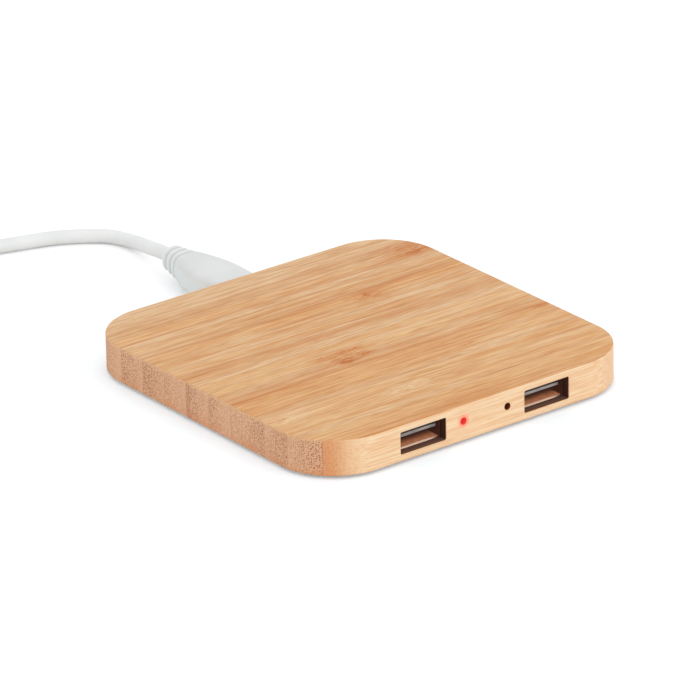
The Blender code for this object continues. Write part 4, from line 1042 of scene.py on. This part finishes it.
class PlugsOperator(bpy.types.Operator):
    """Makes the moulded bodies of the two plugs and finishes their metal"""

    bl_idname = "charging_pad.plugs"
    bl_label = "Plugs"

    def execute(self, context):
        colour = context.scene.cable_settings.moulding[:]
        end = CORD_START[1] / MM
        grooves = [end - step * PLUG_RIB_PITCH / MM for step in (3, 2, 1)]
        finish = moulded_finish("micro_plug_plastic", colour, 0.40, grooves=grooves)
        near = self.moulding(
            "micro_plug_moulding",
            PLUG_SHARES,
            (PORT_X, PLUG_FACE, PORT_Z),
            (PLUG_LENGTH, PLUG_WIDTH, PLUG_HEIGHT),
            (PLUG_RIB_PITCH, PLUG_RIB_DEPTH),
            PLUG_BEND,
        )
        dress(near, "cable", "plug_plastic", finish, "micro_plug_body")
        finish = moulded_finish("far_plug_plastic", colour, 0.40)
        low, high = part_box("usb_a_plug_body")
        middle = (low + high) / 2
        far = self.moulding(
            "far_plug_moulding",
            FAR_PLUG_SHARES,
            (middle.x, low.y, middle.z),
            (FAR_PLUG_LENGTH, FAR_PLUG_WIDTH, FAR_PLUG_HEIGHT),
            (FAR_RIB_PITCH, FAR_RIB_DEPTH),
            0.0,
        )
        dress(far, "cable", "plug_plastic", finish, "usb_a_plug_body")
        steel = metal_finish("plug_steel", tint(196, 197, 200), 0.28)
        repaint(steel, "micro_plug_nose", "usb_a_plug_shell")
        white = moulded_finish("plug_carrier_white", tint(230, 230, 226), 0.45)
        repaint(white, "usb_a_plug_carrier")
        repaint(moulded_finish("plug_carrier_black", tint(40, 40, 42), 0.45), "micro_plug_carrier")
        repaint(moulded_finish("tie_plastic", tint(236, 237, 235), 0.5, 5.0), "cord_tie")
        return {"FINISHED"}

    def moulding(self, name, shares, face, size, ribs, bend):
        """A loft through superellipses, with rounded ribs on its last part."""
        length, width, height = size
        pitch, depth = ribs
        along, across, up, square = np.array(shares).T
        rib_start = 1 - RIB_COUNT * pitch / length
        t = np.union1d(np.linspace(0, rib_start, 70), np.linspace(rib_start, 1, 80))
        half_width = self.smooth(t, along, across) * width / 2
        half_height = self.smooth(t, along, up) * height / 2
        squareness = self.smooth(t, along, square)
        phase = np.clip((t - rib_start) * length / pitch, 0, RIB_COUNT) % 1.0
        groove = np.interp(phase, *RIB_SHAPE) * (t >= rib_start) * depth
        bend_start = along[BEND_ROW]
        lean = bend * np.clip((t - bend_start) / (1 - bend_start), 0, 1) ** 2
        rows = superellipse_rows(
            face[0] + lean,
            face[1] + t * length,
            face[2],
            half_width - groove,
            half_height - groove,
            squareness,
        )

        def cap(row, first, last):
            middle = row.mean(axis=0)
            return middle + (row - middle) * np.linspace(first, last, 5)[:, None, None]

        caps = cap(rows[0], 0, 0.96), cap(rows[-1], 0.94, 0)
        return surface(name, np.concatenate([caps[0], rows, caps[1]]), 50.0)

    def smooth(self, t, places, values):
        """Values through the places with matched slopes: cubic Hermite pieces."""
        slopes = np.gradient(values, places)
        k = np.clip(np.searchsorted(places, t, side="right") - 1, 0, len(places) - 2)
        gap = places[k + 1] - places[k]
        u = (t - places[k]) / gap
        return (
            values[k] * (1 + 2 * u) * (1 - u) ** 2
            + slopes[k] * gap * u * (1 - u) ** 2
            + values[k + 1] * u**2 * (3 - 2 * u)
            - slopes[k + 1] * gap * u**2 * (1 - u)
        )


class BlockOperator(bpy.types.Operator):
    """Makes the milled bamboo block"""

    bl_idname = "charging_pad.block"
    bl_label = "Bamboo block"

    def execute(self, context):
        settings = context.scene.pad_settings
        block = surface("bamboo_block", rounded_rows(self.section(settings.edge_round), 2, 28))
        posts = [
            surface(
                f"post_{k}",
                circle_rows(x, y, [(POST_RADIUS, POST_LOW), (POST_RADIUS, POCKET_HIGH + MM)], 2),
            )
            for k, (x, y) in enumerate(POST_PLACES)
        ]
        combine(block, posts, "UNION")
        combine(block, self.cutters(settings.lip_round), "DIFFERENCE")
        dress(block, "pad", "bamboo", bamboo_finish(settings), "bamboo_housing")
        return {"FINISHED"}

    def section(self, edge):
        """Rows from the middle of the top, over the edges and down, to the pocket's roof."""
        half = SIDE / 2
        rows = [
            (0, 0, half * share, half * share, CORNER_RADIUS * share, BLOCK_HIGH)
            for share in TOP_RING_SHARES
        ]

        def ring(inset, z):
            return (0, 0, half - inset, half - inset, CORNER_RADIUS - inset, z)

        rows += [ring(inset, BLOCK_HIGH - drop) for inset, drop in quarter(edge)]
        rows += [ring(0, z) for z in np.linspace(BLOCK_HIGH - 2 * edge, BLOCK_LOW + 2 * edge, 5)]
        rows += [ring(inset, BLOCK_LOW + drop) for inset, drop in quarter(edge)[::-1]]
        rows += [ring(RIM_WIDTH, BLOCK_LOW), ring(RIM_WIDTH, REBATE_HIGH)]
        wide, deep, corner = half - SIDE_WALL, half - END_WALL, CORNER_RADIUS - END_WALL
        rows += [(0, 0, wide, deep, corner, z) for z in (REBATE_HIGH, POCKET_HIGH)]
        rows += [
            (0, 0, wide * share, deep * share, corner * share, POCKET_HIGH)
            for share in ROOF_RING_SHARES
        ]
        return rows

    def cutters(self, lip):
        """The mouths and lamp holes, eased at the face, the port, the bays and screw holes."""
        face, wall, front = (-SIDE / 2 + deep for deep in (0, END_WALL, SOCKET_WALL))
        eased = [(lip * 2, face - MM), (lip, face)]
        eased += [(inset, face + drop) for inset, drop in quarter(lip, 4)[1:]]
        eased += [(0, wall + MM)]
        half_width, half_height = MOUTH_WIDTH / 2, MOUTH_HEIGHT / 2
        tools = []
        for k, x in enumerate(SOCKET_PLACES):
            mouth = [
                (x, SOCKET_Z, half_width + flare, half_height + flare, MOUTH_CORNER + flare, y)
                for flare, y in eased
            ]
            tools.append(surface(f"mouth_{k}", rounded_rows(mouth, 1, 6)))
            bay = [
                (x, (front + BAY_BACK) / 2, BAY_WIDTH / 2, (BAY_BACK - front) / 2, BAY_CORNER, z)
                for z in (REBATE_HIGH - 0.1 * MM, BAY_HIGH)
            ]
            tools.append(surface(f"bay_{k}", rounded_rows(bay, 2, 2)))
        for k, x in enumerate(LAMP_PLACES):
            profile = [(LAMP_HOLE_RADIUS + flare * LAMP_FLARE_SHARE, y) for flare, y in eased]
            tools.append(surface(f"lamp_hole_{k}", circle_rows(x, LAMP_Z, profile, 1, 8)))
        port = [
            (PORT_X, PORT_Z, PORT_WIDTH / 2, PORT_HEIGHT / 2, PORT_CORNER, y)
            for y in (-wall - MM, -face + MM)
        ]
        tools.append(surface("port", rounded_rows(port, 1, 6)))
        hole = [(POST_HOLE_RADIUS, POST_LOW - MM), (POST_HOLE_RADIUS, POST_HOLE_HIGH)]
        tools += [
            surface(f"screw_hole_{k}", circle_rows(x, y, hole, 2, 6))
            for k, (x, y) in enumerate(POST_PLACES)
        ]
        return tools


class FeetOperator(bpy.types.Operator):
    """Makes the rubber feet and finishes the cover and its screws"""

    bl_idname = "charging_pad.feet"
    bl_label = "Cover and feet"

    def execute(self, context):
        rubber = moulded_finish("foot_rubber", tint(58, 58, 58), 0.75, 4.0, 0.00004, 0.1)
        edge = quarter(FOOT_EDGE)
        profile = [(0.0, FOOT_HIGH), (FOOT_RADIUS - FOOT_EDGE, FOOT_HIGH)]
        profile += [(FOOT_RADIUS - inset, FOOT_HIGH - drop) for inset, drop in edge[1:]]
        profile += [(FOOT_RADIUS - inset, drop) for inset, drop in edge[::-1]]
        profile += [(0.0, 0.0)]
        for k, (x, y) in enumerate(POST_PLACES):
            foot = surface(f"rubber_foot_{k + 1}", circle_rows(x, y, profile, 2))
            dress(foot, "pad", "foot_rubber", rubber, f"foot_{k + 1}")
        cover = moulded_finish("cover_plastic", tint(224, 221, 212), 0.55, 2.2, 0.00005)
        repaint(cover, "bottom_cover")
        steel = metal_finish("screw_steel", tint(178, 178, 176), 0.35)
        repaint(steel, *(f"cover_screw_{k}" for k in range(1, 5)))
        return {"FINISHED"}


class SocketsOperator(bpy.types.Operator):
    """Finishes the USB sockets, the inlet and the lamps"""

    bl_idname = "charging_pad.sockets"
    bl_label = "Sockets and lamps"

    def execute(self, context):
        shell = shell_with_painted_light()
        tongue = tongue_colour_and_shade()
        contact = metal_finish("socket_contact", tint(222, 180, 104), 0.25)
        for name in ("left", "right"):
            repaint(shell, f"usb_socket_shell_{name}")
            repaint(tongue, f"usb_socket_tongue_{name}")
            repaint(contact, *(f"usb_contact_{name}_{k}" for k in range(1, 5)))
        repaint(metal_finish("inlet_steel", tint(190, 190, 190), 0.3), "micro_inlet_shell")
        repaint(moulded_finish("inlet_black", tint(36, 36, 38), 0.45), "micro_inlet_tongue")
        repaint(lamp_finish("lamp_lit", tint(160, 36, 34), 0.45, tint(226, 72, 64)), "lamp_red")
        unlit = lamp_finish("lamp_unlit", tint(140, 72, 54), 0.0, tint(110, 56, 44))
        repaint(unlit, "lamp_clear")
        return {"FINISHED"}


class ElectronicsOperator(bpy.types.Operator):
    """Finishes the circuit board, its parts and the charging coil"""

    bl_idname = "charging_pad.electronics"
    bl_label = "Electronics"

    def execute(self, context):
        repaint(board_finish(), "circuit_board")
        chip = moulded_finish("chip_epoxy", tint(44, 44, 46), 0.5, 6.0, 0.00003, 0.12)
        repaint(chip, "charger_chip", "bridge_chip_left", "bridge_chip_right", "hub_chip")
        ceramic = speckled_finish("capacitor_ceramic", tint(170, 138, 104), tint(140, 110, 80), 0.5)
        repaint(ceramic, "bulk_capacitor", *(f"resonance_capacitor_{k}" for k in range(1, 5)))
        ferrite = speckled_finish("pressed_ferrite", tint(62, 62, 66), tint(88, 88, 92), 0.6)
        repaint(ferrite, "ferrite_sheet", "power_inductor")
        repaint(metal_finish("crystal_can", tint(186, 186, 182), 0.3), "clock_crystal")
        copper = metal_finish("coil_copper", tint(198, 112, 66), 0.3, (1.0, 1.0, 1.0), 0.2)
        repaint(copper, "charging_coil")
        return {"FINISHED"}


class PadPanel(bpy.types.Panel):
    """Lists the settings and the operators"""

    bl_idname = "VIEW3D_PT_charging_pad"
    bl_label = "Charging Pad"
    bl_space_type = "VIEW_3D"
    bl_region_type = "UI"
    bl_category = "Charging Pad"

    def draw(self, context):
        layout = self.layout
        for group in GROUPS:
            settings = getattr(context.scene, group)
            box = layout.box()
            for name in settings.__annotations__:
                box.prop(settings, name)
        for operator in OPERATORS:
            layout.operator(operator.bl_idname)


GROUPS = {
    "pad_settings": PadSettings,
    "cable_settings": CableSettings,
    "stage_settings": StageSettings,
}
OPERATORS = (
    StageOperator,
    PlugsOperator,
    CordOperator,
    BlockOperator,
    FeetOperator,
    SocketsOperator,
    ElectronicsOperator,
)


def register():
    for name, group in GROUPS.items():
        bpy.utils.register_class(group)
        setattr(bpy.types.Scene, name, PointerProperty(type=group))
    for item in (*OPERATORS, PadPanel):
        bpy.utils.register_class(item)


def unregister():
    for item in (PadPanel, *reversed(OPERATORS)):
        bpy.utils.unregister_class(item)
    for name, group in GROUPS.items():
        delattr(bpy.types.Scene, name)
        bpy.utils.unregister_class(group)


def main():
    register()
    for operator in OPERATORS:
        group, name = operator.bl_idname.split(".")
        getattr(getattr(bpy.ops, group), name)()


if __name__ == "__main__":
    main()
